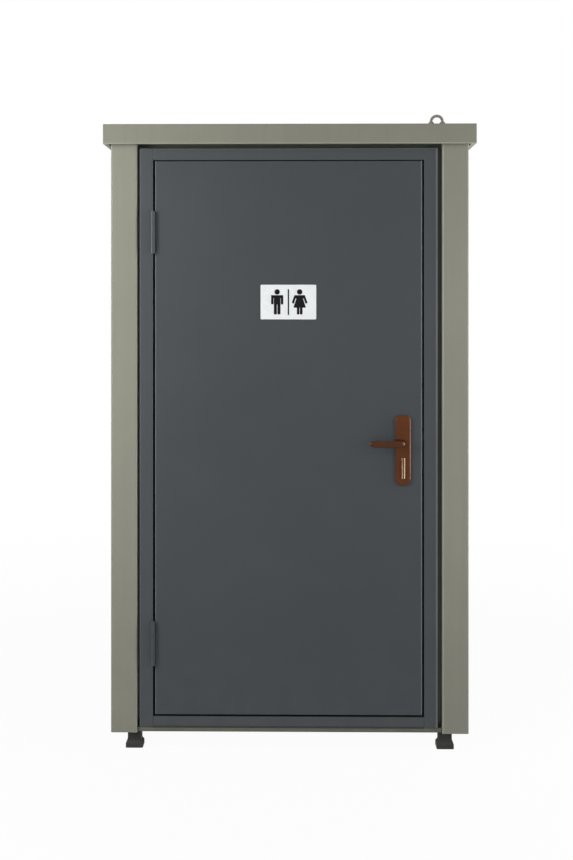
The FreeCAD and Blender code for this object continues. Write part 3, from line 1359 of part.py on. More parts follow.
def toilet_bowl():
    """Floor standing bowl with a shelf for the cistern and a socket for the drain."""
    shelf = box(TOILET_X - SHELF_HALF_WIDTH, TOILET_X + SHELF_HALF_WIDTH,
                WALL_REAR_FACE - BOWL_RIM_BACK - SHELF_ROOT, WALL_REAR_FACE - SHELF_BACK,
                BOWL_TOP - SHELF_THICKNESS, BOWL_TOP)
    socket_y = WALL_REAR_FACE - DRAIN_SOCKET_BACK
    socket = cylinder(DRAIN_RADIUS + DRAIN_SOCKET_WALL, (TOILET_X, socket_y - DRAIN_SOCKET_ROOT, DRAIN_Z),
                      (TOILET_X, socket_y, DRAIN_Z))
    body = fuse(bowl_outside(), shelf, socket)
    bore = cylinder(DRAIN_RADIUS + DRAIN_SOCKET_CLEARANCE, (TOILET_X, socket_y - DRAIN_SOCKET_DEPTH, DRAIN_Z),
                    (TOILET_X, socket_y, DRAIN_Z))
    return body.cut([bore, bowl_cavity()])


def seat_hinge_posts():
    """Two posts on the bowl and the rod that carries seat and lid."""
    parts = []
    inner = SEAT_EAR_FROM_CENTRE + SEAT_EAR_WIDTH + SEAT_POST_GAP
    outer = inner + SEAT_POST_WIDTH
    h = SEAT_POST_HALF_DEPTH
    for side in (-1, 1):
        x0 = TOILET_X + side * inner
        x1 = TOILET_X + side * outer
        parts.append(on_seat_axis(SEAT_POST_RADIUS, x0, x1))
        parts.append(box(x0, x1, SEAT_AXIS_Y - h, SEAT_AXIS_Y + h, BOWL_TOP, SEAT_AXIS_Z))
    reach = inner + OVERLAP
    rod = on_seat_axis(SEAT_ROD_RADIUS, TOILET_X - reach, TOILET_X + reach)
    return fuse(rod, *parts)


def seat_plate(half_width, back, front, z0, z1):
    """Rounded board of the seat or lid."""
    board = Part.Face(egg(half_width, back, front, z0)).extrude(V(0, 0, z1 - z0))
    radius = min(SEAT_EDGE_RADIUS, (z1 - z0) * SEAT_EDGE_LIMIT)
    return board.makeFillet(radius, edges_where(board, lambda e: is_level(e, z1)))


def on_seat_axis(radius, x0, x1):
    return cylinder(radius, (x0, SEAT_AXIS_Y, SEAT_AXIS_Z), (x1, SEAT_AXIS_Y, SEAT_AXIS_Z))


def rod_bore(x0, x1):
    return on_seat_axis(SEAT_ROD_RADIUS + SEAT_ROD_CLEARANCE, x0, x1)


def toilet_seat():
    """Ring seat with two ears around the hinge rod and four buffers."""
    back = SEAT_HINGE_BACK + SEAT_PLATE_FROM_AXIS
    half = BOWL_HALF_WIDTH + SEAT_MARGIN
    front = BOWL_FRONT + SEAT_MARGIN
    plate = seat_plate(half, back, front, SEAT_BOTTOM, SEAT_TOP)
    hole = ellipse(BOWL_CAVITY_HALF_WIDTH - SEAT_HOLE_MARGIN, BOWL_CAVITY_HALF_LENGTH - SEAT_HOLE_MARGIN,
                   BOWL_CAVITY_CENTRE, SEAT_BOTTOM)
    plate = plate.cut(Part.Face(hole).extrude(V(0, 0, SEAT_THICKNESS)))
    parts = []
    bores = []
    for side in (-1, 1):
        x0 = TOILET_X + side * SEAT_EAR_FROM_CENTRE
        x1 = x0 + side * SEAT_EAR_WIDTH
        parts.append(on_seat_axis(SEAT_EAR_RADIUS, x0, x1))
        parts.append(box(x0, x1, SEAT_AXIS_Y - SEAT_PLATE_FROM_AXIS - SEAT_EAR_ROOT, SEAT_AXIS_Y,
                         SEAT_BOTTOM, SEAT_TOP))
        bores.append(rod_bore(x0, x1))
        for along in (SEAT_BUFFER_REAR, SEAT_BUFFER_FRONT):
            bx = TOILET_X + side * (BOWL_HALF_WIDTH - SEAT_BUFFER_INSET)
            by = WALL_REAR_FACE - along
            parts.append(cylinder(SEAT_BUFFER_RADIUS, (bx, by, BOWL_TOP + SEAT_BUFFER_CLEARANCE),
                                  (bx, by, SEAT_BOTTOM + OVERLAP)))
    return fuse(plate, *parts).cut(bores)


def toilet_lid():
    """Lid over the seat, its ears between those of the seat."""
    back = SEAT_HINGE_BACK - LID_BEHIND_AXIS
    half = BOWL_HALF_WIDTH + SEAT_MARGIN
    front = BOWL_FRONT + SEAT_MARGIN
    plate = seat_plate(half, back, front, LID_BOTTOM, LID_TOP)
    parts = []
    bores = []
    for side in (-1, 1):
        x0 = TOILET_X + side * LID_EAR_FROM_CENTRE
        x1 = x0 + side * SEAT_EAR_WIDTH
        parts.append(on_seat_axis(SEAT_EAR_RADIUS, x0, x1))
        parts.append(box(x0, x1, SEAT_AXIS_Y - SEAT_EAR_RADIUS, SEAT_AXIS_Y + LID_BEHIND_AXIS,
                         SEAT_AXIS_Z, LID_BOTTOM + OVERLAP))
        bores.append(rod_bore(x0, x1))
    return fuse(plate, *parts).cut(bores)


def cistern_outline(half_width, depth, inset, z):
    """Rounded rectangle inside the tank's outline by the given inset."""
    half = half_width - inset
    y0 = WALL_REAR_FACE - CISTERN_BACK - depth + inset
    y1 = WALL_REAR_FACE - CISTERN_BACK - inset
    return flat([(TOILET_X - half, y0, z), (TOILET_X + half, y0, z),
                 (TOILET_X + half, y1, z), (TOILET_X - half, y1, z)], CISTERN_CORNER_RADIUS - inset)


def cistern():
    """Tapered ceramic tank, open at the top."""
    w = CISTERN_WALL
    narrow = CISTERN_HALF_WIDTH - CISTERN_TAPER
    shallow = CISTERN_DEPTH - CISTERN_TAPER
    outer = Part.makeLoft([cistern_outline(narrow, shallow, 0.0, BOWL_TOP),
                           cistern_outline(CISTERN_HALF_WIDTH, CISTERN_DEPTH, 0.0, CISTERN_TOP)], True, True)
    inner = Part.makeLoft([cistern_outline(narrow, shallow, w, BOWL_TOP + w),
                           cistern_outline(CISTERN_HALF_WIDTH, CISTERN_DEPTH, w, CISTERN_TOP)], True, True)
    return outer.cut(inner)


def flush_centre():
    return WALL_REAR_FACE - CISTERN_BACK - CISTERN_DEPTH / 2.0


def cistern_cover():
    """Ceramic cover with a hole for the flush button."""
    m = COVER_MARGIN
    w = CISTERN_HALF_WIDTH + m
    y1 = WALL_REAR_FACE
    y0 = WALL_REAR_FACE - CISTERN_BACK - CISTERN_DEPTH - m
    z1 = CISTERN_TOP + COVER_THICKNESS
    cover = prism([(TOILET_X - w, y0, CISTERN_TOP), (TOILET_X + w, y0, CISTERN_TOP),
                   (TOILET_X + w, y1, CISTERN_TOP), (TOILET_X - w, y1, CISTERN_TOP)],
                  (0, 0, COVER_THICKNESS), CISTERN_CORNER_RADIUS)
    cover = cover.makeFillet(COVER_EDGE_RADIUS, edges_where(cover, lambda e: is_level(e, z1)))
    y = flush_centre()
    hole = cylinder(FLUSH_BUTTON_RADIUS + FLUSH_BUTTON_CLEARANCE, (TOILET_X, y, CISTERN_TOP),
                    (TOILET_X, y, z1))
    return cover.cut(hole)


def flush_button():
    y = flush_centre()
    top = CISTERN_TOP + COVER_THICKNESS + FLUSH_BUTTON_PROUD
    under = top - FLUSH_BUTTON_THICKNESS
    button = cylinder(FLUSH_BUTTON_RADIUS, (TOILET_X, y, under), (TOILET_X, y, top))
    button = button.makeFillet(FLUSH_BUTTON_EDGE, edges_where(button, lambda e: is_level(e, top)))
    stem = cylinder(FLUSH_STEM_RADIUS, (TOILET_X, y, under - FLUSH_STEM_LENGTH),
                    (TOILET_X, y, under + OVERLAP))
    return fuse(button, stem)


def wall_rosette(radius, x, z):
    """Disc that covers a pipe's hole on the crests of the rear sheet."""
    y = BACK_Y - CREST
    return cylinder(radius, (x, y, z), (x, y + ROSETTE_THICKNESS, z))


def drain_pipe():
    """Plastic pipe from the bowl's socket through the rear wall, with a rosette on the outer sheet."""
    y0 = WALL_REAR_FACE - DRAIN_SOCKET_BACK - DRAIN_SOCKET_DEPTH
    y1 = BACK_Y + DRAIN_REACH
    outer = cylinder(DRAIN_RADIUS, (TOILET_X, y0, DRAIN_Z), (TOILET_X, y1, DRAIN_Z))
    outer = fuse(outer, wall_rosette(DRAIN_ROSETTE_RADIUS, TOILET_X, DRAIN_Z))
    return outer.cut(cylinder(DRAIN_RADIUS - DRAIN_WALL, (TOILET_X, y0, DRAIN_Z), (TOILET_X, y1, DRAIN_Z)))


def water_inlet():
    """Brass spigot through the rear wall with a rising pipe to the cistern."""
    x = TOILET_X + WATER_X
    y0 = WALL_REAR_FACE - WATER_INSET
    y1 = BACK_Y + WATER_REACH
    pipe = cylinder(WATER_RADIUS, (x, y0, WATER_Z), (x, y1, WATER_Z))
    valve = cylinder(WATER_VALVE_RADIUS, (x, y0, WATER_Z - WATER_VALVE_BELOW),
                     (x, y0, WATER_Z + WATER_VALVE_ABOVE))
    riser = cylinder(WATER_RISER_RADIUS, (x, y0, WATER_Z), (x, y0, BOWL_TOP))
    bore = cylinder(WATER_BORE, (x, y1 - WATER_BORE_DEPTH, WATER_Z), (x, y1, WATER_Z))
    return fuse(pipe, valve, riser, wall_rosette(WATER_ROSETTE_RADIUS, x, WATER_Z)).cut(bore)


# Washbasin


def basin_outline(shrink, z):
    x1 = SIDE_LINING_FACE
    x0 = x1 - BASIN_DEPTH + shrink
    half = BASIN_LENGTH / 2.0 - shrink
    r = BASIN_CORNER_RADIUS
    return flat([(x0, BASIN_Y - half, z), (x1, BASIN_Y - half, z),
                 (x1, BASIN_Y + half, z), (x0, BASIN_Y + half, z)], [r, 0, 0, r])


def basin_ellipse(scale, z):
    centre = V(BASIN_BOWL_X, BASIN_Y, z)
    long_end = centre + V(0, BASIN_BOWL_HALF_LENGTH * scale, 0)
    short_end = centre + V(BASIN_BOWL_HALF_DEPTH * scale, 0, 0)
    return Part.Wire(Part.Ellipse(long_end, short_end, centre).toShape())


def washbasin():
    """Wall hung basin with a tap deck against the right wall."""
    body = Part.makeLoft([basin_outline(BASIN_BOTTOM_SHRINK, BASIN_BOTTOM), basin_outline(0.0, BASIN_TOP)],
                         True, True)
    floor_z = BASIN_TOP - BASIN_BOWL_DEPTH
    bowl = Part.makeLoft([basin_ellipse(size, BASIN_TOP - BASIN_BOWL_DEPTH * depth)
                          for depth, size in BASIN_BOWL_STATIONS], True, False)
    drain = cylinder(BASIN_DRAIN_RADIUS, (BASIN_BOWL_X, BASIN_Y, BASIN_BOTTOM),
                     (BASIN_BOWL_X, BASIN_Y, floor_z))
    return body.cut([bowl, drain])


def basin_trap():
    """Drain fitting, bottle trap and waste pipe into the side wall."""
    x, y = BASIN_BOWL_X, BASIN_Y
    r = TRAP_PIPE_RADIUS
    floor_z = BASIN_TOP - BASIN_BOWL_DEPTH
    neck = cylinder(BASIN_DRAIN_RADIUS, (x, y, BASIN_BOTTOM), (x, y, floor_z - TRAP_STRAINER_DEPTH))
    nut = cylinder(TRAP_NUT_RADIUS, (x, y, BASIN_BOTTOM - TRAP_NUT_HEIGHT), (x, y, BASIN_BOTTOM))
    tail = cylinder(r, (x, y, BASIN_BOTTOM - TRAP_TAIL), (x, y, BASIN_BOTTOM))
    bottle_top = BASIN_BOTTOM - TRAP_TAIL
    bottle = cylinder(TRAP_BOTTLE_RADIUS, (x, y, bottle_top - TRAP_BOTTLE_HEIGHT), (x, y, bottle_top))
    outlet_z = bottle_top - TRAP_OUTLET_DROP
    outlet = cylinder(r, (x, y, outlet_z), (SIDE_LINING_FACE, y, outlet_z))
    rosette = cylinder(TRAP_ROSETTE_RADIUS, (SIDE_LINING_FACE - TRAP_ROSETTE_THICKNESS, y, outlet_z),
                       (SIDE_LINING_FACE, y, outlet_z))
    shape = fuse(neck, nut, tail, bottle, outlet, rosette)
    return shape.cut(cylinder(r - TRAP_PIPE_WALL, (x, y, bottle_top), (x, y, floor_z)))


def tap_x():
    return SIDE_LINING_FACE - BASIN_DECK / 2.0


def basin_tap():
    """Pillar tap with a slanted spout and a stem for the push button."""
    x = tap_x()
    top = BASIN_TOP + TAP_HEIGHT
    pillar = cylinder(TAP_RADIUS, (x, BASIN_Y, BASIN_TOP), (x, BASIN_Y, top))
    spout_z = BASIN_TOP + TAP_SPOUT_HEIGHT
    spout = cylinder(TAP_SPOUT_RADIUS, (x, BASIN_Y, spout_z),
                     (x - TAP_SPOUT_REACH, BASIN_Y, spout_z + TAP_SPOUT_RISE))
    stem = cylinder(TAP_STEM_RADIUS, (x, BASIN_Y, top - OVERLAP), (x, BASIN_Y, top + TAP_STEM_RISE))
    outlet_x = x - TAP_SPOUT_REACH + TAP_OUTLET_FROM_END
    outlet = cylinder(TAP_OUTLET_RADIUS, (outlet_x, BASIN_Y, spout_z - TAP_SPOUT_RADIUS),
                      (outlet_x, BASIN_Y, spout_z + TAP_OUTLET_DEPTH))
    return fuse(pillar, spout, stem).cut(outlet)


def tap_button():
    """Push cap that slides on the tap's stem."""
    x = tap_x()
    bottom = BASIN_TOP + TAP_HEIGHT + TAP_BUTTON_LIFT
    top = bottom + TAP_BUTTON_HEIGHT
    cap = cylinder(TAP_BUTTON_RADIUS, (x, BASIN_Y, bottom), (x, BASIN_Y, top))
    cap = cap.makeFillet(TAP_BUTTON_EDGE, edges_where(cap, lambda e: is_level(e, top)))
    hole = cylinder(TAP_STEM_RADIUS + TAP_BUTTON_CLEARANCE, (x, BASIN_Y, bottom),
                    (x, BASIN_Y, top - TAP_BUTTON_CROWN))
    return cap.cut(hole)


def mirror():
    z0 = BASIN_TOP + MIRROR_ABOVE_BASIN
    x0 = SIDE_LINING_FACE - MIRROR_THICKNESS
    w = MIRROR_WIDTH / 2.0
    return prism([(x0, BASIN_Y - w, z0), (x0, BASIN_Y + w, z0),
                  (x0, BASIN_Y + w, z0 + MIRROR_HEIGHT), (x0, BASIN_Y - w, z0 + MIRROR_HEIGHT)],
                 (MIRROR_THICKNESS, 0, 0), MIRROR_CORNER_RADIUS)


# Paper holder


def paper_axis():
    x = -SIDE_LINING_FACE + PAPER_FROM_WALL
    y = WALL_REAR_FACE - PAPER_FROM_REAR
    z = FLOOR_TOP + PAPER_HEIGHT
    return x, y, z


def paper_holder():
    """Wall plate, two arms and the roller that fits the roll's core."""
    x, y, z = paper_axis()
    half = PAPER_ROLL_WIDTH / 2.0 + PAPER_SIDE_GAP
    wall = -SIDE_LINING_FACE
    h = PAPER_PLATE_HEIGHT / 2.0
    plate = box(wall, wall + PAPER_ARM, y - half - PAPER_ARM, y + half + PAPER_ARM, z - h, z + h)
    parts = [plate]
    for side in (-1, 1):
        y0 = y + side * half
        y1 = y0 + side * PAPER_ARM
        parts.append(cylinder(PAPER_ARM_RADIUS, (x, y0, z), (x, y1, z)))
        parts.append(box(wall, x, y0, y1, z - PAPER_ARM_RADIUS, z + PAPER_ARM_RADIUS))
    roller = cylinder(PAPER_BORE_RADIUS - PAPER_RUNNING, (x, y - half, z), (x, y + half, z))
    return fuse(roller, *parts)


def paper_roll():
    x, y, z = paper_axis()
    half = PAPER_ROLL_WIDTH / 2.0
    roll = cylinder(PAPER_ROLL_RADIUS, (x, y - half, z), (x, y + half, z))
    return roll.cut(cylinder(PAPER_BORE_RADIUS, (x, y - half, z), (x, y + half, z)))


# Lamp


def ceiling_lamp():
    """Round lamp: a straight rim and a shallow dome below it."""
    y = FRONT_Y + LAMP_FROM_FRONT
    z1 = CEILING_BOTTOM
    rim_z = z1 - LAMP_RIM
    low = z1 - LAMP_HEIGHT
    sag = rim_z - low
    dome_radius = (LAMP_RADIUS ** 2 + sag ** 2) / (2.0 * sag)
    half = math.asin(LAMP_RADIUS / dome_radius) / 2.0
    middle = V(dome_radius * math.sin(half), y, low + dome_radius * (1.0 - math.cos(half)))
    edges = [Part.LineSegment(V(0, y, z1), V(LAMP_RADIUS, y, z1)).toShape(),
             Part.LineSegment(V(LAMP_RADIUS, y, z1), V(LAMP_RADIUS, y, rim_z)).toShape(),
             Part.Arc(V(LAMP_RADIUS, y, rim_z), middle, V(0, y, low)).toShape(),
             Part.LineSegment(V(0, y, low), V(0, y, z1)).toShape()]
    return Part.Face(Part.Wire(edges)).revolve(V(0, y, 0), V(0, 0, 1), 360)


def build():
    nodes = {
        "corner_post_front_left": front_post(-1, FRAME_LEFT),
        "corner_post_front_right": front_post(1, FRAME_RIGHT),
        "corner_post_rear_left": post(-1, SIDE_WALL_BACK, BACK_Y),
        "corner_post_rear_right": post(1, SIDE_WALL_BACK, BACK_Y),
        "base_frame": base_frame(),
        "top_frame": top_frame(),
        "floor_plate": deck(BASE_RAIL_TOP, FLOOR_TOP),
        "roof_cap": roof_cap(),
        "ceiling_panel": deck(CEILING_BOTTOM, TOP_RAIL_BOTTOM),
        "lifting_eyes": lifting_eyes(),
        "feet": feet(),
        "left_wall_sheet": side_sheet(-1),
        "right_wall_sheet": side_sheet(1),
        "rear_wall_sheet": rear_sheet(),
        "left_wall_lining": side_lining(-1),
        "right_wall_lining": side_lining(1),
        "rear_wall_lining": rear_lining(),
        "wall_studs": wall_studs(),
        "hinge_jamb": hinge_jamb(),
        "lock_jamb": lock_jamb(),
        "frame_head": frame_head(),
        "frame_threshold": frame_threshold(),
        "door_gasket": door_gasket(),
        "door_outer_skin": door_outer_skin(),
        "door_inner_skin": door_inner_skin(),
        "door_core": door_core(),
        "frame_hinge_knuckles": frame_hinge_knuckles(),
        "leaf_hinge_knuckles": leaf_hinge_knuckles(),
        "hinge_pins": hinge_pins(),
        "lock_case": lock_case(),
        "lock_faceplate": lock_faceplate(),
        "latch_bolt": latch_bolt(),
        "deadbolt": deadbolt(),
        "lock_cylinder": lock_cylinder(),
        "thumb_turn": thumb_turn(),
        "outer_backplate": outer_backplate(),
        "inner_backplate": inner_backplate(),
        "outer_lever": outer_lever(),
        "inner_lever": inner_lever(),
        "handle_spindle": handle_spindle(),
        "strike_plate": strike_plate(),
        "sign_plate": sign_plate(),
        "toilet_bowl": toilet_bowl(),
        "toilet_seat": toilet_seat(),
        "toilet_lid": toilet_lid(),
        "seat_hinge_posts": seat_hinge_posts(),
        "cistern": cistern(),
        "cistern_cover": cistern_cover(),
        "flush_button": flush_button(),
        "drain_pipe": drain_pipe(),
        "water_inlet": water_inlet(),
        "vent_grille": vent_grille(),
        "washbasin": washbasin(),
        "basin_trap": basin_trap(),
        "basin_tap": basin_tap(),
        "tap_button": tap_button(),
        "mirror": mirror(),
        "paper_holder": paper_holder(),
        "paper_roll": paper_roll(),
        "ceiling_lamp": ceiling_lamp(),
    }
    os.makedirs("parts", exist_ok=True)
    for name, shape in nodes.items():
        shape.exportStep("parts/" + name + ".step")


build()
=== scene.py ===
import json
import math

import bmesh
import bpy
from mathutils import Matrix, Vector


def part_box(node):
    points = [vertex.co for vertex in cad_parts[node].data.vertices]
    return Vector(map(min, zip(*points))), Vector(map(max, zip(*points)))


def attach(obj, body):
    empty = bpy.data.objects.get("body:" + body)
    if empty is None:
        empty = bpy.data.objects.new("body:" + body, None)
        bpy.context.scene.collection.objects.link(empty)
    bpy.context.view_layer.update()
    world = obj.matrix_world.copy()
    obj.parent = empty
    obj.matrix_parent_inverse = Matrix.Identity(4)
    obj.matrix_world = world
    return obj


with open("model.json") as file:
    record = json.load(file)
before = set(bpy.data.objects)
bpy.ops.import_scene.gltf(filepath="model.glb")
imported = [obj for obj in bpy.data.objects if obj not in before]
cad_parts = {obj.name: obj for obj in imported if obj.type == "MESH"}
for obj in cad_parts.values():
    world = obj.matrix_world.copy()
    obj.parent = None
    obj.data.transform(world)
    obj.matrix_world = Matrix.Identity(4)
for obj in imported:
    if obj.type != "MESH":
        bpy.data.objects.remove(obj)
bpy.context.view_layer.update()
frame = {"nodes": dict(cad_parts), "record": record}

nodes = frame["nodes"]
slot_of_node = {part["node"]: part["material_slot"] for part in frame["record"]["subparts"]}

# Camera, for an image of 573 by 860: focal length and principal point in pixels
IMAGE_WIDTH = 573
IMAGE_HEIGHT = 860
SENSOR = 36.0
FOCAL_PIXELS = 1408.9
PRINCIPAL_POINT = (276.0, 300.0)
CAMERA_PLACE = (0.0286, -5.7032, 1.5973)
CAMERA_YAW = math.radians(0.877)


def make_camera():
    data = bpy.data.cameras.new("camera")
    data.sensor_fit = "AUTO"
    data.sensor_width = SENSOR
    data.lens = FOCAL_PIXELS * SENSOR / IMAGE_HEIGHT
    data.shift_x = (IMAGE_WIDTH / 2.0 - PRINCIPAL_POINT[0]) / IMAGE_HEIGHT
    data.shift_y = (PRINCIPAL_POINT[1] - IMAGE_HEIGHT / 2.0) / IMAGE_HEIGHT
    camera = bpy.data.objects.new("camera", data)
    camera.location = CAMERA_PLACE
    camera.rotation_euler = (math.radians(90.0), 0.0, CAMERA_YAW)
    bpy.context.scene.collection.objects.link(camera)
    bpy.context.scene.camera = camera


# Materials

# How far a painted edge highlight, a gap's plane and a painted highlight line reach, and how dark the
# painted shade in the gap beside the posts is
HIGHLIGHT_EDGE_WIDTH = 0.0029
PLANE_FADE = 0.001
HIGHLIGHT_FADE = 0.004
GAP_SHADE_FACTOR = 0.42


def toned(color, factor):
    """The colour made lighter or darker, with no channel over 1."""
    return tuple(min(1.0, channel * factor) for channel in color)


class Finish:
    """One procedural material round a Principled shader. Patterns are laid out in metres on the object."""

    def __init__(self, name, color, roughness, metallic=0.0):
        self.material = bpy.data.materials.new(name)
        self.material.use_nodes = True
        self.tree = self.material.node_tree
        self.shader = next(n for n in self.tree.nodes if n.type == "BSDF_PRINCIPLED")
        self.color = color
        self.level = roughness
        self.set("Base Color", (*color, 1.0))
        self.set("Roughness", roughness)
        self.set("Metallic", metallic)
        self.place = self.node("ShaderNodeTexCoord").outputs["Object"]
        self.tinted = None
        self.normal = None

    def node(self, kind, **settings):
        made = self.tree.nodes.new(kind)
        for key, value in settings.items():
            setattr(made, key, value)
        return made

    def feed(self, socket, value):
        """Links an output to a socket, or sets a plain number on it."""
        if isinstance(value, bpy.types.NodeSocket):
            self.tree.links.new(value, socket)
        else:
            socket.default_value = value

    def set(self, socket, value):
        self.feed(self.shader.inputs[socket], value)

    def scaled(self, factors):
        mapping = self.node("ShaderNodeMapping")
        self.feed(mapping.inputs["Vector"], self.place)
        mapping.inputs["Scale"].default_value = factors
        return mapping.outputs["Vector"]

    def noise(self, scale, detail=3.0, stretch=None):
        made = self.node("ShaderNodeTexNoise")
        self.feed(made.inputs["Vector"], self.scaled(stretch) if stretch else self.place)
        made.inputs["Scale"].default_value = scale
        made.inputs["Detail"].default_value = detail
        return made.outputs["Fac"]

    def cells(self, scale):
        made = self.node("ShaderNodeTexVoronoi", feature="F1")
        self.feed(made.inputs["Vector"], self.place)
        made.inputs["Scale"].default_value = scale
        return made.outputs["Distance"]

    def waves(self, scale, direction, distortion=0.0, detail=0.0, stretch=None):
        made = self.node("ShaderNodeTexWave", wave_type="BANDS", bands_direction=direction)
        self.feed(made.inputs["Vector"], self.scaled(stretch) if stretch else self.place)
        made.inputs["Scale"].default_value = scale
        made.inputs["Distortion"].default_value = distortion
        made.inputs["Detail"].default_value = detail
        return made.outputs["Fac"]

    def axis(self, letter):
        made = self.node("ShaderNodeSeparateXYZ")
        self.feed(made.inputs[0], self.place)
        return made.outputs[letter]

    def span(self, value, low, high, to_low=0.0, to_high=1.0):
        made = self.node("ShaderNodeMapRange")
        self.feed(made.inputs["Value"], value)
        for key, number in (("From Min", low), ("From Max", high), ("To Min", to_low), ("To Max", to_high)):
            made.inputs[key].default_value = number
        return made.outputs["Result"]

    def combine(self, operation, first, second):
        made = self.node("ShaderNodeMath", operation=operation)
        self.feed(made.inputs[0], first)
        self.feed(made.inputs[1], second)
        return made.outputs[0]

    def times(self, first, second):
        return self.combine("MULTIPLY", first, second)

    def most(self, first, second):
        return self.combine("MAXIMUM", first, second)

    def near(self, letter, place, width):
        """1 within a width of a plane across one axis, fading out over half the width again."""
        distance = self.node("ShaderNodeMath", operation="ABSOLUTE")
        self.feed(distance.inputs[0], self.combine("SUBTRACT", self.axis(letter), place))
        return self.span(distance.outputs[0], width, 1.5 * width, 1.0, 0.0)

    def within(self, letter, low, high, fade):
        """1 between two planes across one axis, fading out just inside them."""
        value = self.axis(letter)
        return self.times(self.span(value, low, low + fade), self.span(value, high - fade, high, 1.0, 0.0))

    def paint_edge_highlights(self, edges):
        """Painted highlights in patches along folded edges: the base colour is made lighter there. An edge
        is (axis, place, factor).
        """
        for letter, place, factor in edges:
            patches = self.span(self.noise(9.0, 3.0), 0.25, 0.6, 0.7, 1.0)
            self.shade(self.times(self.near(letter, place, HIGHLIGHT_EDGE_WIDTH), patches), factor)

    def tint(self, mask, color):
        """Mixes another colour into the base colour where the mask is high."""
        made = self.node("ShaderNodeMix", data_type="RGBA")
        self.feed(made.inputs["Factor"], mask)
        self.feed(made.inputs[6], self.tinted if self.tinted else (*self.color, 1.0))
        self.feed(made.inputs[7], (*color, 1.0))
        self.tinted = made.outputs[2]
        self.set("Base Color", self.tinted)

    def shade(self, mask, factor):
        """Makes the base colour lighter or darker by a factor where the mask is high."""
        self.tint(mask, toned(self.color, factor))

    def rough(self, mask, low, high, gain=(0.3, 0.7)):
        """Roughness goes from the level plus low to the level plus high over the mask's range."""
        self.set("Roughness", self.span(mask, *gain, self.level + low, self.level + high))

    def bump(self, height, depth, strength=1.0):
        made = self.node("ShaderNodeBump")
        made.inputs["Strength"].default_value = strength
        made.inputs["Distance"].default_value = depth
        self.feed(made.inputs["Height"], height)
        if self.normal:
            self.feed(made.inputs["Normal"], self.normal)
        self.normal = made.outputs["Normal"]
        self.set("Normal", self.normal)


def painted_steel(name, color, roughness, dust, dust_top, streaks=0.5, specular=0.5, edges=(), joint=None):
    """Sprayed satin paint on folded sheet: orange peel, slow waves, rain streaks, painted edge highlights,
    dust low down.

    A joint is the pair of X planes between which the paint is darker as painted shade.
    """
    f = Finish(name, color, roughness)
    f.set("Specular IOR Level", specular)
    f.shade(f.span(f.noise(1.7, 2.0), 0.35, 0.7), 0.93)
    f.shade(f.span(f.noise(5.5, 5.0), 0.5, 0.75, 0.0, 0.5), 1.09)
    runs = f.span(f.noise(1.0, 4.0, stretch=(46.0, 46.0, 1.3)), 0.52, 0.74, 0.0, streaks)
    f.shade(f.times(runs, f.noise(2.5, 2.0)), 0.82)
    low = f.span(f.axis("Z"), 0.05, dust_top, 0.55, 0.0)
    f.tint(f.times(low, f.span(f.noise(13.0, 6.0), 0.35, 0.75)), dust)
    f.shade(f.span(f.noise(160.0, 2.0), 0.7, 0.78, 0.0, 0.3), 1.5)
    # Painted highlights along the given edges
    f.paint_edge_highlights(edges)
    # Painted shade on the steel between the joint's two X planes
    if joint:
        f.shade(f.within("X", *joint, PLANE_FADE), GAP_SHADE_FACTOR)
    f.rough(f.noise(7.0, 5.0), -0.025, 0.035)
    f.bump(f.noise(2.4, 1.0), 0.002, 0.3)
    f.bump(f.noise(330.0, 2.0), 0.00016, 0.6)
    return f.material


def moulded(name, color, roughness, grain=900.0, depth=0.0001, coat=0.0, specular=0.5, cloud=0.9):
    """Moulded plastic or rubber: fine grain, soft cloudiness, rubbed and dusty places."""
    f = Finish(name, color, roughness)
    f.set("Specular IOR Level", specular)
    f.set("Coat Weight", coat)
    f.shade(f.span(f.noise(14.0, 4.0), 0.35, 0.7), cloud)
    f.shade(f.span(f.noise(60.0, 5.0), 0.56, 0.7, 0.0, 0.5), 2.0 - cloud)
    f.rough(f.noise(22.0, 4.0), -0.07, 0.1)
    f.bump(f.noise(grain, 2.0), depth, 0.7)
    return f.material


def glazed(name, color):
    """Vitreous china: deep clear glaze over a slightly uneven body, with faint lime marks low down."""
    f = Finish(name, color, 0.12)
    f.set("Coat Weight", 0.8)
    f.set("Coat Roughness", 0.04)
    f.shade(f.span(f.noise(9.0, 3.0), 0.35, 0.7), 0.965)
    f.tint(f.span(f.noise(35.0, 6.0), 0.62, 0.8, 0.0, 0.25), (0.74, 0.71, 0.62))
    f.rough(f.noise(16.0, 4.0), -0.03, 0.06)
    f.bump(f.noise(24.0, 2.0), 0.0009, 0.35)
    return f.material


def brushed(name, color, roughness, stretch, grain=1.0):
    """Metal with fine lines along one axis, worn brighter and duller in places."""
    f = Finish(name, color, roughness, metallic=1.0)
    lines = f.noise(grain, 3.0, stretch=stretch)
    f.shade(f.span(lines, 0.35, 0.65), 0.82)
    f.shade(f.span(f.noise(45.0, 4.0), 0.5, 0.75, 0.0, 0.6), 0.7)
    f.rough(f.most(f.noise(60.0, 4.0), lines), -0.06, 0.12)
    f.bump(lines, 0.00006, 0.8)
    return f.material


def polished(name, color, roughness):
    """Plated metal: nearly a mirror, with water spots and finger marks in its roughness."""
    f = Finish(name, color, roughness, metallic=1.0)
    f.shade(f.span(f.noise(70.0, 4.0), 0.5, 0.8, 0.0, 0.6), 0.88)
    f.rough(f.noise(55.0, 6.0), -0.02, 0.14, (0.45, 0.75))
    f.bump(f.noise(90.0, 2.0), 0.00008, 0.4)
    return f.material


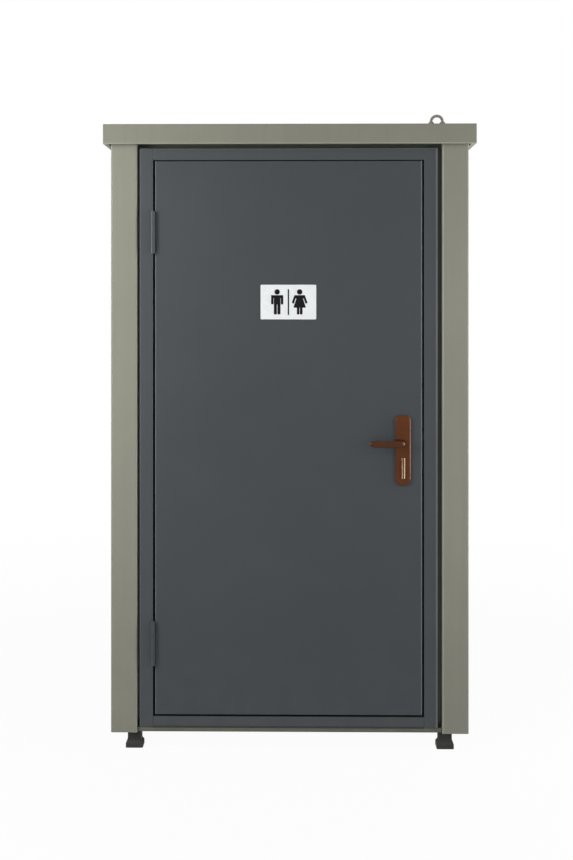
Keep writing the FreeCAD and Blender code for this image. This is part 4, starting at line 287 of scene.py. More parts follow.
def flecked_floor(name, color):
    """Phenolic floor board: anti-slip wire print, light flecks and trodden dirt."""
    f = Finish(name, color, 0.5)
    f.shade(f.span(f.noise(4.0, 4.0), 0.35, 0.7), 0.8)
    f.tint(f.span(f.cells(260.0), 0.0, 0.16, 0.75, 0.0), (0.42, 0.39, 0.34))
    f.tint(f.span(f.noise(8.0, 6.0), 0.58, 0.78, 0.0, 0.4), (0.17, 0.15, 0.12))
    grid = f.most(f.waves(62.0, "X"), f.waves(62.0, "Y"))
    f.rough(f.noise(18.0, 5.0), -0.06, 0.14)
    f.bump(grid, 0.0005, 0.8)
    return f.material


def coated_board(name, color):
    """Melamine faced board: fine pearl grain, a faint vertical press texture and rubbed places."""
    f = Finish(name, color, 0.34)
    f.shade(f.span(f.noise(3.0, 3.0), 0.35, 0.7), 0.965)
    f.shade(f.span(f.noise(1.0, 4.0, stretch=(60.0, 60.0, 4.0)), 0.5, 0.75, 0.0, 0.6), 0.94)
    low = f.span(f.axis("Z"), 0.13, 0.45, 0.5, 0.0)
    f.tint(f.times(low, f.span(f.noise(24.0, 6.0), 0.4, 0.75)), (0.56, 0.54, 0.49))
    f.rough(f.noise(12.0, 5.0), -0.05, 0.1)
    f.bump(f.noise(700.0, 2.0), 0.00008, 0.8)
    return f.material


def sawn_wood(name, color):
    f = Finish(name, color, 0.7)
    rings = f.waves(34.0, "X", distortion=4.0, detail=3.0, stretch=(1.0, 1.0, 0.12))
    f.shade(rings, 0.62)
    f.shade(f.span(f.noise(40.0, 5.0), 0.45, 0.7, 0.0, 0.5), 1.15)
    f.rough(f.noise(90.0, 3.0), -0.08, 0.12)
    f.bump(f.noise(120.0, 4.0, stretch=(1.0, 1.0, 0.1)), 0.0004, 0.7)
    return f.material


def fibre_board(name, color):
    f = Finish(name, color, 0.85)
    f.shade(f.span(f.noise(1.0, 4.0, stretch=(240.0, 240.0, 26.0)), 0.35, 0.7), 0.8)
    f.rough(f.noise(70.0, 3.0), -0.08, 0.08)
    f.bump(f.noise(400.0, 3.0), 0.0002, 0.8)
    return f.material


def tissue(name, color):
    """Embossed tissue: small quilted dots, soft layers on the ends of the roll."""
    f = Finish(name, color, 0.92)
    f.set("Specular IOR Level", 0.2)
    f.shade(f.span(f.noise(30.0, 4.0), 0.35, 0.7), 0.95)
    f.rough(f.noise(200.0, 3.0), -0.05, 0.06)
    f.bump(f.cells(150.0), 0.0009, 0.55)
    f.bump(f.noise(900.0, 2.0), 0.0002, 0.8)
    return f.material


def looking_glass(name, color):
    f = Finish(name, color, 0.015, metallic=1.0)
    f.shade(f.span(f.noise(12.0, 3.0), 0.4, 0.75, 0.0, 0.6), 0.93)
    f.set("Roughness", f.span(f.noise(210.0, 5.0), 0.66, 0.8, 0.012, 0.3))
    f.bump(f.noise(5.0, 1.0), 0.0001, 0.2)
    return f.material


def gloss_paint(name, color, rubbed=()):
    """Baked gloss coating on cast handle parts, with painted highlight lines on its rim and on the guard's
    ridges.

    The rubbed lines are painted highlight lines, each (axis, place, width, low, high, color): low and high
    bound them along Z.
    """
    f = Finish(name, color, 0.17)
    f.set("Specular IOR Level", 0.4)
    f.set("Specular Tint", (1.0, 0.45, 0.2, 1.0))
    f.set("Coat Weight", 0.15)
    f.set("Coat Roughness", 0.06)
    f.shade(f.span(f.noise(26.0, 4.0), 0.35, 0.7), 0.82)
    f.shade(f.span(f.noise(110.0, 5.0), 0.6, 0.8, 0.0, 0.4), 1.7)
    # Painted highlight lines, lighter in patches
    for letter, place, width, low, high, highlight_color in rubbed:
        line = f.times(f.near(letter, place, width), f.within("Z", low, high, HIGHLIGHT_FADE))
        f.tint(f.times(line, f.span(f.noise(70.0, 3.0), 0.3, 0.55, 0.35, 1.0)), highlight_color)
    f.rough(f.noise(60.0, 4.0), -0.05, 0.06)
    f.bump(f.noise(620.0, 2.0), 0.00004, 0.5)
    return f.material


STRUCTURE_COLOR = (0.215, 0.213, 0.170)
# Darker copy of the structure colour: painted shade on the base frame and the top frame
SHADED_BASE_COLOR = (0.104, 0.114, 0.085)
DOOR_COLOR = (0.041, 0.048, 0.053)
FRAME_COLOR = (0.044, 0.0505, 0.0555)
DUST_COLOR = (0.20, 0.19, 0.16)
DOOR_DUST_COLOR = (0.062, 0.066, 0.066)
HANDLE_COLOR = (0.076, 0.0205, 0.0062)
PAINTED_RIM_HIGHLIGHT_COLOR = (0.30, 0.12, 0.06)
PAINTED_RIDGE_HIGHLIGHT_COLOR = (0.66, 0.50, 0.38)
WHITE_CERAMIC = (0.78, 0.78, 0.75)
# Painted light and shade as tones: a lighter roof, a darker lever and darker hinge welds
ROOF_LIGHT_TONE = 1.05
LEVER_SHADE_TONE = 0.62
WELD_SHADE_TONE = 0.45

finishes = {
    "structure_paint": painted_steel("structure_paint", STRUCTURE_COLOR, 0.44, DUST_COLOR, 0.6),
    "wall_paint": painted_steel("wall_paint", STRUCTURE_COLOR, 0.44, DUST_COLOR, 0.6,
                                streaks=0.8, specular=0.35),
    "door_paint": painted_steel("door_paint", DOOR_COLOR, 0.42, DOOR_DUST_COLOR, 0.4,
                                streaks=0.25, specular=0.35),
    "handle_paint": gloss_paint("handle_paint", HANDLE_COLOR),
    "lock_steel": brushed("lock_steel", (0.45, 0.45, 0.43), 0.32, (120.0, 120.0, 900.0)),
    # Cylinder metal kept dark: painted shade for the key slot in front of it
    "cylinder_metal": brushed("cylinder_metal", (0.16, 0.145, 0.12), 0.32, (900.0, 120.0, 900.0)),
    "foot_plastic": moulded("foot_plastic", (0.026, 0.027, 0.0235), 0.66, 500.0, 0.0004, specular=0.35),
    "seal_rubber": moulded("seal_rubber", (0.012, 0.012, 0.012), 0.6, 700.0, 0.0002),
    "core_board": fibre_board("core_board", (0.36, 0.25, 0.13)),
    "floor_board": flecked_floor("floor_board", (0.105, 0.093, 0.077)),
    "lining_board": coated_board("lining_board", (0.70, 0.70, 0.675)),
    "timber": sawn_wood("timber", (0.48, 0.30, 0.14)),
    "sign_plastic": moulded("sign_plastic", (0.81, 0.835, 0.845), 0.3, 1200.0, 0.00004,
                            coat=0.3, cloud=0.985),
    "sanitary_ceramic": glazed("sanitary_ceramic", WHITE_CERAMIC),
    "seat_plastic": moulded("seat_plastic", (0.79, 0.79, 0.77), 0.22, 1400.0, 0.00004, coat=0.4, cloud=0.97),
    "pipe_plastic": moulded("pipe_plastic", (0.20, 0.205, 0.21), 0.5),
    "chrome": polished("chrome", (0.80, 0.80, 0.81), 0.06),
    "brass": brushed("brass", (0.72, 0.48, 0.19), 0.3, (300.0, 300.0, 900.0)),
    "vent_aluminium": brushed("vent_aluminium", (0.50, 0.51, 0.52), 0.4, (60.0, 900.0, 900.0)),
    "mirror_glass": looking_glass("mirror_glass", (0.86, 0.88, 0.88)),
    "paper": tissue("paper", (0.84, 0.83, 0.79)),
    "lamp_plastic": moulded("lamp_plastic", (0.84, 0.84, 0.79), 0.28, 900.0, 0.0001, coat=0.2, cloud=0.97),
}
printed_black = moulded("printed_black", (0.006, 0.006, 0.007), 0.6, 900.0, 0.00003, specular=0.1)
trim_white = moulded("trim_white", (0.72, 0.72, 0.70), 0.35, 1200.0, 0.00004, cloud=0.97)


# Handle's middle line, and the raised guard's ridges, where highlights are painted, measured from it and
# from the backplate's lower end
HANDLE_X = 0.4025
GUARD_RIDGES = ((-0.0032, 0.0009), (0.0046, 0.0013))
GUARD_BOTTOM = 0.0225
GUARD_TOP = 0.0995

# Painted highlight line along the backplate's right edge: inset, width, and the room left at its two ends
PLATE_HIGHLIGHT_INSET = 0.0016
PLATE_HIGHLIGHT_WIDTH = 0.0010
PLATE_HIGHLIGHT_FROM_BOTTOM = 0.020
PLATE_HIGHLIGHT_FROM_TOP = 0.006

# Nodes whose paint differs a little from their slot's: painted highlights on folded edges and the backplate,
# painted shade on low and inner steel, the lever and the latch, painted light on the roof
POST_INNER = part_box("corner_post_rear_right")[0].x
frame_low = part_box("hinge_jamb")[0]
frame_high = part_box("lock_jamb")[1]
fascia_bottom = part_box("roof_cap")[0].z
leaf_low, leaf_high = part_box("door_outer_skin")
# Edge highlights painted into the paint, each as (axis, place, factor)
leaf_highlight_edges = (("X", leaf_low.x, 2.3), ("X", leaf_high.x, 3.0))
frame_highlight_edges = (("X", frame_low.x, 1.8), ("X", frame_high.x - HIGHLIGHT_EDGE_WIDTH, 2.6), ("Z", frame_high.z, 1.8))
post_highlight_edges = (("X", POST_INNER, 1.5), ("X", -POST_INNER, 1.25))
roof_highlight_edges = (("Z", fascia_bottom, 1.35),)
leaf_paint = painted_steel("leaf_paint", DOOR_COLOR, 0.42, DOOR_DUST_COLOR, 0.4,
                           streaks=0.25, specular=0.35, edges=leaf_highlight_edges)
frame_paint = painted_steel("frame_paint", FRAME_COLOR, 0.4, DOOR_DUST_COLOR, 0.35,
                            streaks=0.25, specular=0.4, edges=frame_highlight_edges)
# Posts: painted edge highlights, and painted shade on the flange beside the door frame's right jamb
post_paint = painted_steel("post_paint", STRUCTURE_COLOR, 0.44, DUST_COLOR, 0.6,
                           edges=post_highlight_edges, joint=(0.0, POST_INNER))
# Roof paint a little lighter than the same structure paint: painted light
lit_roof_paint = painted_steel("lit_roof_paint", toned(STRUCTURE_COLOR, ROOF_LIGHT_TONE), 0.6, DUST_COLOR, 0.6,
                           specular=0.25, edges=roof_highlight_edges)
# Painted shade: base frame and top frame darker than the posts
shaded_base_paint = painted_steel("shaded_base_paint", SHADED_BASE_COLOR, 0.5, DUST_COLOR, 0.11, specular=0.3)
# Latch and strike steel kept dark: painted shade in the door gap
shaded_bolt_steel = brushed("shaded_bolt_steel", (0.09, 0.09, 0.09), 0.5, (120.0, 120.0, 900.0))
plate_low, plate_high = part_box("outer_backplate")
guard_span = (plate_low.z + GUARD_BOTTOM, plate_low.z + GUARD_TOP)
guard_ridge_highlights = [("X", HANDLE_X + offset, width, *guard_span, PAINTED_RIDGE_HIGHLIGHT_COLOR) for offset, width in GUARD_RIDGES]
plate_rim_highlight = ("X", plate_high.x - PLATE_HIGHLIGHT_INSET, PLATE_HIGHLIGHT_WIDTH,
              plate_low.z + PLATE_HIGHLIGHT_FROM_BOTTOM, plate_high.z - PLATE_HIGHLIGHT_FROM_TOP, PAINTED_RIM_HIGHLIGHT_COLOR)
# Backplate with painted highlights on its right rim and on the guard's ridges
highlighted_plate_paint = gloss_paint("highlighted_plate_paint", HANDLE_COLOR, [plate_rim_highlight] + guard_ridge_highlights)
# Lever darker than the backplate: painted shade
shaded_lever_paint = gloss_paint("shaded_lever_paint", toned(HANDLE_COLOR, LEVER_SHADE_TONE))
# Hinge welds darker than the frame: painted shade beside the hinge barrels
shaded_weld_paint = painted_steel("shaded_weld_paint", toned(FRAME_COLOR, WELD_SHADE_TONE), 0.5, DOOR_DUST_COLOR, 0.35,
                           streaks=0.25, specular=0.3)
own_finish = {
    "outer_backplate": highlighted_plate_paint,
    "outer_lever": shaded_lever_paint,
    "door_outer_skin": leaf_paint,
    "roof_cap": lit_roof_paint,
    "base_frame": shaded_base_paint,
    "top_frame": shaded_base_paint,
    "latch_bolt": shaded_bolt_steel,
    "strike_plate": shaded_bolt_steel,
}
FRAME_MEMBERS = ("hinge_jamb", "lock_jamb", "frame_head", "frame_threshold")
own_finish.update({name: frame_paint for name in FRAME_MEMBERS})
own_finish.update({name: post_paint for name in nodes if name.startswith("corner_post")})

for name, node in nodes.items():
    node.data.materials.clear()
    node.data.materials.append(own_finish.get(name) or finishes[slot_of_node[name]])


# Mesh helpers


def add_piece(name, bm, body, slot, material=None, smooth=True, bevel=0.0):
    """Turns a bmesh into a named piece that rides on a body."""
    bmesh.ops.recalc_face_normals(bm, faces=bm.faces)
    mesh = bpy.data.meshes.new(name)
    bm.to_mesh(mesh)
    bm.free()
    for polygon in mesh.polygons:
        polygon.use_smooth = smooth
    piece = bpy.data.objects.new(name, mesh)
    bpy.context.scene.collection.objects.link(piece)
    mesh.materials.append(material or finishes[slot])
    if bevel:
        round_edges(piece, bevel)
    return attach(piece, body)


def round_edges(piece, width, segments=2, angle=35.0):
    """Small real radius on the folded or cut edges, with normals that keep the flats flat."""
    bevel = piece.modifiers.new("edge_radius", "BEVEL")
    bevel.width = width
    bevel.segments = segments
    bevel.limit_method = "ANGLE"
    bevel.angle_limit = math.radians(angle)
    normals = piece.modifiers.new("flat_normals", "WEIGHTED_NORMAL")
    normals.keep_sharp = False


def rounded(points, radius, steps=5):
    """2D outline with each corner turned into an arc."""
    count = len(points)
    result = []
    for i, corner in enumerate(points):
        corner = Vector(corner)
        before = Vector(points[i - 1]) - corner
        after = Vector(points[(i + 1) % count]) - corner
        angle = before.angle(after)
        cut = min(radius / math.tan(angle / 2.0), before.length * 0.49, after.length * 0.49)
        r = cut * math.tan(angle / 2.0)
        middle = (before.normalized() + after.normalized()).normalized()
        centre = corner + middle * (r / math.sin(angle / 2.0))
        first = corner + before.normalized() * cut - centre
        last = corner + after.normalized() * cut - centre
        turn = first.angle_signed(last)
        for step in range(steps + 1):
            result.append(centre + Matrix.Rotation(-turn * step / steps, 2) @ first)
    return result


def extrude_outline(bm, outline, to_point, depth):
    """Solid between an outline and its copy depth away; to_point gives the 3D point of (u, v, w)."""
    count = len(outline)
    near = [bm.verts.new(to_point(u, v, 0.0)) for u, v in outline]
    far = [bm.verts.new(to_point(u, v, depth)) for u, v in outline]
    bm.faces.new(near)
    bm.faces.new(far[::-1])
    for i in range(count):
        j = (i + 1) % count
        bm.faces.new((near[j], near[i], far[i], far[j]))


def lathe(bm, rings, place, direction, segments=24, socket_rings=0):
    """Turned solid: rings are (radius, height) from the base; the last socket_rings are hexagons."""
    turn = Vector(direction).to_track_quat("Z", "Y").to_matrix().to_4x4()
    matrix = Matrix.Translation(Vector(place)) @ turn
    rows = []
    for index, (radius, height) in enumerate(rings):
        row = []
        for s in range(segments):
            angle = 2.0 * math.pi * s / segments
            r = radius
            if index >= len(rings) - socket_rings:
                sector = (angle + math.pi / 6.0) % (math.pi / 3.0) - math.pi / 6.0
                r = radius * math.cos(math.pi / 6.0) / math.cos(sector)
            row.append(bm.verts.new(matrix @ Vector((r * math.cos(angle), r * math.sin(angle), height))))
        rows.append(row)
    for lower, upper in zip(rows, rows[1:]):
        for s in range(segments):
            t = (s + 1) % segments
            bm.faces.new((lower[s], lower[t], upper[t], upper[s]))
    bm.faces.new(rows[0][::-1])
    bm.faces.new(rows[-1])


PAN_HEAD = ((0.0038, -0.0004), (0.0038, 0.0004), (0.0034, 0.0013), (0.0024, 0.0019), (0.0019, 0.0020),
            (0.0018, 0.0019), (0.0017, 0.0008))
FLUSH_HEAD = ((0.0036, -0.0006), (0.0040, 0.0000), (0.0037, 0.0003), (0.0021, 0.0004), (0.0019, 0.0003),
              (0.0018, -0.0003))
HEX_WASHER = ((0.0070, -0.0004), (0.0074, 0.0002), (0.0074, 0.0011), (0.0068, 0.0015), (0.0048, 0.0016),
              (0.0046, 0.0058), (0.0038, 0.0063))


def screws(name, places, direction, body, slot, rings=PAN_HEAD, socket_rings=2, material=None):
    bm = bmesh.new()
    for place in places:
        lathe(bm, rings, place, direction, socket_rings=socket_rings)
    return add_piece(name, bm, body, slot, material, smooth=False)


make_camera()

# Folded steel gets the small radius of its bends
SHEET_EDGES = {"hinge_jamb": 0.0022, "lock_jamb": 0.0022, "frame_head": 0.0018, "frame_threshold": 0.0018,
               "base_frame": 0.003, "top_frame": 0.003}
for name, radius in SHEET_EDGES.items():
    weld = nodes[name].modifiers.new("weld", "WELD")
    weld.merge_threshold = 0.00002
    round_edges(nodes[name], radius)

# Sign plate with plain figures, laid out in millimetres
sign_low, sign_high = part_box("sign_plate")
SIGN_MIDDLE = (sign_low + sign_high) / 2.0
FIGURE_DEPTH = 0.0005
FIGURE_OFFSET = 40.0
HEAD_HEIGHT = 36.0
HEAD_RADIUS = 9.6
HEAD_SEGMENTS = 32


def on_sign(u, v, w):
    """Point of the sign's face: u right and v up from its middle, in millimetres, w metres out of it."""
    return Vector((SIGN_MIDDLE.x + u / 1000.0, sign_low.y - w, SIGN_MIDDLE.z + v / 1000.0))


def mirrored(half):
    """Whole outline from its right half, listed from the bottom middle up to the top middle."""
    return half + [(-u, v) for u, v in reversed(half)]


def figure(bm, middle, half):
    """Plain standing figure: a round head over one outline."""
    outline = rounded(mirrored(half), 1.6, 3)
    extrude_outline(bm, [(middle + u, v) for u, v in outline], on_sign, FIGURE_DEPTH)
    angles = [2.0 * math.pi * a / HEAD_SEGMENTS for a in range(HEAD_SEGMENTS)]
    disc = [(middle + HEAD_RADIUS * math.cos(a), HEAD_HEIGHT + HEAD_RADIUS * math.sin(a)) for a in angles]
    extrude_outline(bm, disc, on_sign, FIGURE_DEPTH)


def make_pictogram():
    trousers = [(1.1, -8.0), (1.1, -44.0), (11.6, -44.0), (11.6, 14.0), (13.2, 14.0), (13.2, -8.0),
                (21.5, -8.0), (21.5, 24.5)]
    dress = [(1.1, -20.0), (1.1, -44.0), (10.0, -44.0), (10.0, -20.0), (22.5, -20.0), (11.8, 12.0),
             (14.0, 13.5), (21.0, -6.0), (28.0, -3.0), (18.5, 24.5)]
    bm = bmesh.new()
    figure(bm, -FIGURE_OFFSET, trousers)
    figure(bm, FIGURE_OFFSET, dress)
    bar = rounded([(-2.4, -46.0), (2.4, -46.0), (2.4, 46.0), (-2.4, 46.0)], 1.0, 3)
    extrude_outline(bm, bar, on_sign, FIGURE_DEPTH)
    add_piece("sign_figures", bm, "door", "seal_rubber", printed_black, smooth=False)


make_pictogram()

# Fixings of the lock and the strike, with each screw's distance from the end of its plate
FACEPLATE_SCREW_INSET = 0.012
STRIKE_SCREW_INSET = 0.008
BACKPLATE_SCREW_INSET = 0.022
CASE_PLATE_LOW, CASE_PLATE_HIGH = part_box("lock_faceplate")
STRIKE_LOW, STRIKE_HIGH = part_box("strike_plate")
INNER_LOW, INNER_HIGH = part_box("inner_backplate")
case_y = (CASE_PLATE_LOW.y + CASE_PLATE_HIGH.y) / 2.0
strike_y = (STRIKE_LOW.y + STRIKE_HIGH.y) / 2.0
screws("faceplate_screws", [(CASE_PLATE_HIGH.x, case_y, CASE_PLATE_LOW.z + FACEPLATE_SCREW_INSET),
                            (CASE_PLATE_HIGH.x, case_y, CASE_PLATE_HIGH.z - FACEPLATE_SCREW_INSET)],
       (1, 0, 0), "door", "lock_steel", FLUSH_HEAD)
screws("strike_screws", [(STRIKE_LOW.x, strike_y, STRIKE_LOW.z + STRIKE_SCREW_INSET),
                         (STRIKE_LOW.x, strike_y, STRIKE_HIGH.z - STRIKE_SCREW_INSET)],
       (-1, 0, 0), "cabin", "lock_steel", FLUSH_HEAD)
screws("inner_backplate_screws", [(HANDLE_X, INNER_HIGH.y, INNER_HIGH.z - BACKPLATE_SCREW_INSET),
                                  (HANDLE_X, INNER_HIGH.y, INNER_LOW.z + BACKPLATE_SCREW_INSET)],
       (0, 1, 0), "door", "lock_steel")

# Screws of the profiled wall sheets, in their troughs
SHEET_SCREW_HEIGHTS = (0.150, 1.126, 2.102)
RIB_PITCH = 0.100
RIB_DEPTH = 0.012


def wall_screws(name, node, along, across, direction):
    """One screw in each trough at each height; along and across are axis numbers."""
    low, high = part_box(node)
    length = high[along] - low[along]
    count = round(length / RIB_PITCH)
    face = (high if direction[across] > 0 else low)[across] - direction[across] * RIB_DEPTH
    places = []
    for i in range(1, count):
        for height in SHEET_SCREW_HEIGHTS:
            place = Vector((0.0, 0.0, height))
            place[along] = low[along] + i * length / count
            place[across] = face
            places.append(place)
    screws(name, places, direction, "cabin", "lock_steel", HEX_WASHER)


wall_screws("left_wall_screws", "left_wall_sheet", 1, 0, (-1, 0, 0))
wall_screws("right_wall_screws", "right_wall_sheet", 1, 0, (1, 0, 0))
wall_screws("rear_wall_screws", "rear_wall_sheet", 0, 1, (0, 1, 0))

# Welds: a bead's ripple and how it swells and tapers, the fillet round an eye's leg, the beads at the hinges
WELD_RIPPLE = 0.0032
RIPPLE_STEPS = 4.0
RIPPLE_SWELL = 0.13
TAPER_START = 0.45
TAPER_RISE = 12.0
EYE_WELD = ((0.0158, -0.0004), (0.0150, 0.0008), (0.0122, 0.0030), (0.0103, 0.0052), (0.0090, 0.0076),
            (0.0078, 0.0090))
EYE_BEND = 0.020
EYE_INSET = 0.015

# Bottom and length of each hinge barrel, the share that each frame knuckle takes, and the beads beside them
HINGE_BARRELS = ((1.762, 0.150), (0.297, 0.157))
KNUCKLE_SHARE = 0.3
FRAME_BEAD_OFFSET = 0.0068
FRAME_BEAD_DEPTH = 0.0006
FRAME_BEAD_RADIUS = 0.0021
FRAME_BEAD_INSET = 0.002
LEAF_BEAD_OFFSET = 0.0012
LEAF_BEAD_DEPTH = 0.0004
LEAF_BEAD_RADIUS = 0.0017
LEAF_BEAD_INSET = 0.003


def weld_bead(bm, start, end, radius):
    """Run of weld metal along a line: an eight-sided rod with the ripple of its laid drops."""
    start = Vector(start)
    run = Vector(end) - start
    count = max(4, round(run.length / WELD_RIPPLE * RIPPLE_STEPS))
    rings = []
    for i in range(count + 1):
        share = i / count
        swell = 1.0 + RIPPLE_SWELL * math.sin(2.0 * math.pi * share * run.length / WELD_RIPPLE)
        taper = min(1.0, TAPER_START + TAPER_RISE * min(share, 1.0 - share))
        rings.append((radius * swell * taper, share * run.length))
    lathe(bm, rings, start, run, segments=8)


def make_eye_welds():
    """Fillet of weld round each leg of both lifting eyes, rising to the bent bar."""
    low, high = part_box("lifting_eyes")
    reach = EYE_INSET + EYE_BEND
    bm = bmesh.new()
    for x, y in ((high.x - reach, low.y + EYE_INSET), (low.x + reach, high.y - EYE_INSET)):
        for side in (-1, 1):
            lathe(bm, EYE_WELD, (x + side * EYE_BEND, y, low.z), (0, 0, 1), segments=28)
    add_piece("eye_welds", bm, "cabin", "structure_paint", lit_roof_paint)


def make_hinge_welds():
    """Beads between the jamb and the frame knuckles, and between the leaf's edge and its knuckles."""
    low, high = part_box("frame_hinge_knuckles")
    face = frame_low.y
    frame_x = (low.x + high.x) / 2.0 - FRAME_BEAD_OFFSET
    leaf_x = leaf_low.x + LEAF_BEAD_OFFSET
    frame_beads = bmesh.new()
    leaf_beads = bmesh.new()
    for bottom, length in HINGE_BARRELS:
        knuckle = length * KNUCKLE_SHARE
        for z in (bottom, bottom + length - knuckle):
            weld_bead(frame_beads, (frame_x, face - FRAME_BEAD_DEPTH, z + FRAME_BEAD_INSET),
                      (frame_x, face - FRAME_BEAD_DEPTH, z + knuckle - FRAME_BEAD_INSET), FRAME_BEAD_RADIUS)
        start = bottom + knuckle + LEAF_BEAD_INSET
        end = bottom + length - knuckle - LEAF_BEAD_INSET
        weld_bead(leaf_beads, (leaf_x, face - LEAF_BEAD_DEPTH, start), (leaf_x, face - LEAF_BEAD_DEPTH, end),
                  LEAF_BEAD_RADIUS)
    add_piece("frame_hinge_welds", frame_beads, "cabin", "door_paint", shaded_weld_paint)
    add_piece("leaf_hinge_welds", leaf_beads, "door", "door_paint", shaded_weld_paint)


make_eye_welds()
make_hinge_welds()

# Inner trims
LINING_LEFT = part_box("left_wall_lining")[1].x
LINING_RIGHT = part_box("right_wall_lining")[0].x
LINING_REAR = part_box("rear_wall_lining")[0].y
POST_FRONT_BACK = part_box("corner_post_front_right")[1].y
POST_REAR_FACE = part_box("corner_post_rear_right")[0].y
FRAME_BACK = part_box("lock_jamb")[1].y
FLOOR_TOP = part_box("floor_plate")[1].z
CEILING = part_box("ceiling_panel")[0].z
TRIM = 0.0016
TRIM_FLANGE = 0.024
TRIM_CLEARANCE = 0.002


def trim_profile(line):
    """Outline of a bent strip: the given line and its copy one thickness to the room's side."""
    inner = []
    for i, point in enumerate(line):
        point = Vector(point)
        normals = []
        for a, b in zip(line[max(0, i - 1):i + 1], line[max(1, i):i + 2]):
            along = (Vector(b) - Vector(a)).normalized()
            normals.append(Vector((-along.y, along.x)))
        shift = normals[0]
        if len(normals) > 1:
            shift = (normals[0] + normals[1]) / (1.0 + normals[0].dot(normals[1]))
        inner.append(point + shift * TRIM)
    return [Vector(p) for p in line] + inner[::-1]


def make_corner_trims():
    """Angle strips that cover the posts between the wall linings."""
    height = CEILING - FLOOR_TOP
    rear = [(LINING_RIGHT, POST_REAR_FACE - TRIM_FLANGE), (LINING_RIGHT, POST_REAR_FACE),
            (POST_INNER, POST_REAR_FACE), (POST_INNER, LINING_REAR), (POST_INNER - TRIM_FLANGE, LINING_REAR)]
    front = [(POST_INNER, FRAME_BACK), (POST_INNER, POST_FRONT_BACK), (LINING_RIGHT, POST_FRONT_BACK),
             (LINING_RIGHT, POST_FRONT_BACK + TRIM_FLANGE)]
    bm = bmesh.new()
    for line in (rear, front):
        outline = trim_profile(line)
        for side in (-1, 1):
            extrude_outline(bm, outline, lambda u, v, w: Vector((side * u, v, FLOOR_TOP + w)), height)
    add_piece("corner_trims", bm, "cabin", "seat_plastic", trim_white, smooth=False)


def make_skirting():
    """Coved strip along the floor: a thin upper edge, a swept foot."""
    profile = [(0.0, 0.0), (0.0, 0.062), (0.003, 0.062), (0.0045, 0.060), (0.005, 0.016), (0.008, 0.007),
               (0.016, 0.0015), (0.017, 0.0)]
    start = POST_FRONT_BACK + TRIM_CLEARANCE
    length = POST_REAR_FACE - TRIM_CLEARANCE - start
    reach = POST_INNER - TRIM_CLEARANCE
    bm = bmesh.new()
    for wall, side in ((LINING_RIGHT, -1.0), (LINING_LEFT, 1.0)):
        extrude_outline(bm, profile, lambda u, v, w: Vector((wall + side * u, start + w, FLOOR_TOP + v)),
                        length)
    extrude_outline(bm, profile, lambda u, v, w: Vector((w - reach, LINING_REAR - u, FLOOR_TOP + v)),
                    2.0 * reach)
    add_piece("skirting", bm, "cabin", "pipe_plastic", smooth=False, bevel=0.0006)


# Threshold strip: its middle behind the frame, its ends inside the threshold's, its thickness and screws
STRIP_BEHIND_FRAME = 0.008
STRIP_LEFT_INSET = 0.020
STRIP_RIGHT_INSET = 0.027
STRIP_THICKNESS = 0.0026
STRIP_SCREWS = 6
SEAL_REACH = 0.0014
SEAL_HEIGHT = 0.0062
SEAL_ROOT = 0.002
THRESHOLD_LOW, THRESHOLD_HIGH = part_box("frame_threshold")


def make_threshold_strip():
    """Aluminium strip over the joint of floor and threshold, with its screws."""
    middle = FRAME_BACK + STRIP_BEHIND_FRAME
    left = THRESHOLD_LOW.x + STRIP_LEFT_INSET
    right = THRESHOLD_HIGH.x - STRIP_RIGHT_INSET
    top = FLOOR_TOP + STRIP_THICKNESS
    profile = [(-0.019, 0.0), (-0.017, 0.0018), (-0.012, STRIP_THICKNESS), (0.012, STRIP_THICKNESS),
               (0.017, 0.0018), (0.019, 0.0)]
    bm = bmesh.new()
    extrude_outline(bm, profile, lambda u, v, w: Vector((left + w, middle + u, FLOOR_TOP + v)), right - left)
    add_piece("threshold_strip", bm, "cabin", "vent_aluminium", smooth=False, bevel=0.0003)
    places = [(left + (i + 0.5) * (right - left) / STRIP_SCREWS, middle, top) for i in range(STRIP_SCREWS)]
    screws("threshold_screws", places, (0, 0, 1), "cabin", "lock_steel", FLUSH_HEAD)


def make_threshold_seal():
    """Rubber bead in the joint under the threshold, on the face of the base frame."""
    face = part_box("base_frame")[0].y
    low = THRESHOLD_LOW
    length = THRESHOLD_HIGH.x - low.x
    corners = [(SEAL_ROOT, 0.0), (-SEAL_REACH, 0.0), (-SEAL_REACH, -SEAL_HEIGHT), (SEAL_ROOT, -SEAL_HEIGHT)]
    profile = rounded(corners, 0.0008, 3)
    bm = bmesh.new()
    extrude_outline(bm, profile, lambda u, v, w: Vector((low.x + w, face + u, low.z + v)), length)
    add_piece("threshold_seal", bm, "cabin", "seal_rubber", smooth=False)


make_corner_trims()
make_skirting()
make_threshold_strip()
make_threshold_seal()

# Sanitary fixings: bolt caps at the bowl's foot, mirror clips, the basin's sealant, the vent's mesh
CAP_DOME = ((0.0100, -0.0015), (0.0100, 0.0020), (0.0092, 0.0044), (0.0070, 0.0064), (0.0038, 0.0076),
            (0.0012, 0.0079))
CAP_SIDE = 0.1045
CAP_DEPTH = 0.300
CAP_HEIGHT = 0.026
CLIP_INSET = 0.055
CLIP_THICKNESS = 0.0075
SEALANT_INSET = 0.050
SEALANT_TAPER = ((0.0012, 0.0), (0.0032, 0.004), (0.0034, 0.020))
MESH_REACH = 0.090
MESH_PITCH = 0.009
MESH_WIRE = 0.0006
MESH_DEPTH = 0.008


def make_toilet_caps():
    """Covers over the two floor bolts, low on the sides of the bowl's foot."""
    bm = bmesh.new()
    for side in (-1, 1):
        lathe(bm, CAP_DOME, (side * CAP_SIDE, CAP_DEPTH, FLOOR_TOP + CAP_HEIGHT), (side, 0, 0))
    add_piece("toilet_bolt_caps", bm, "cabin", "seat_plastic")


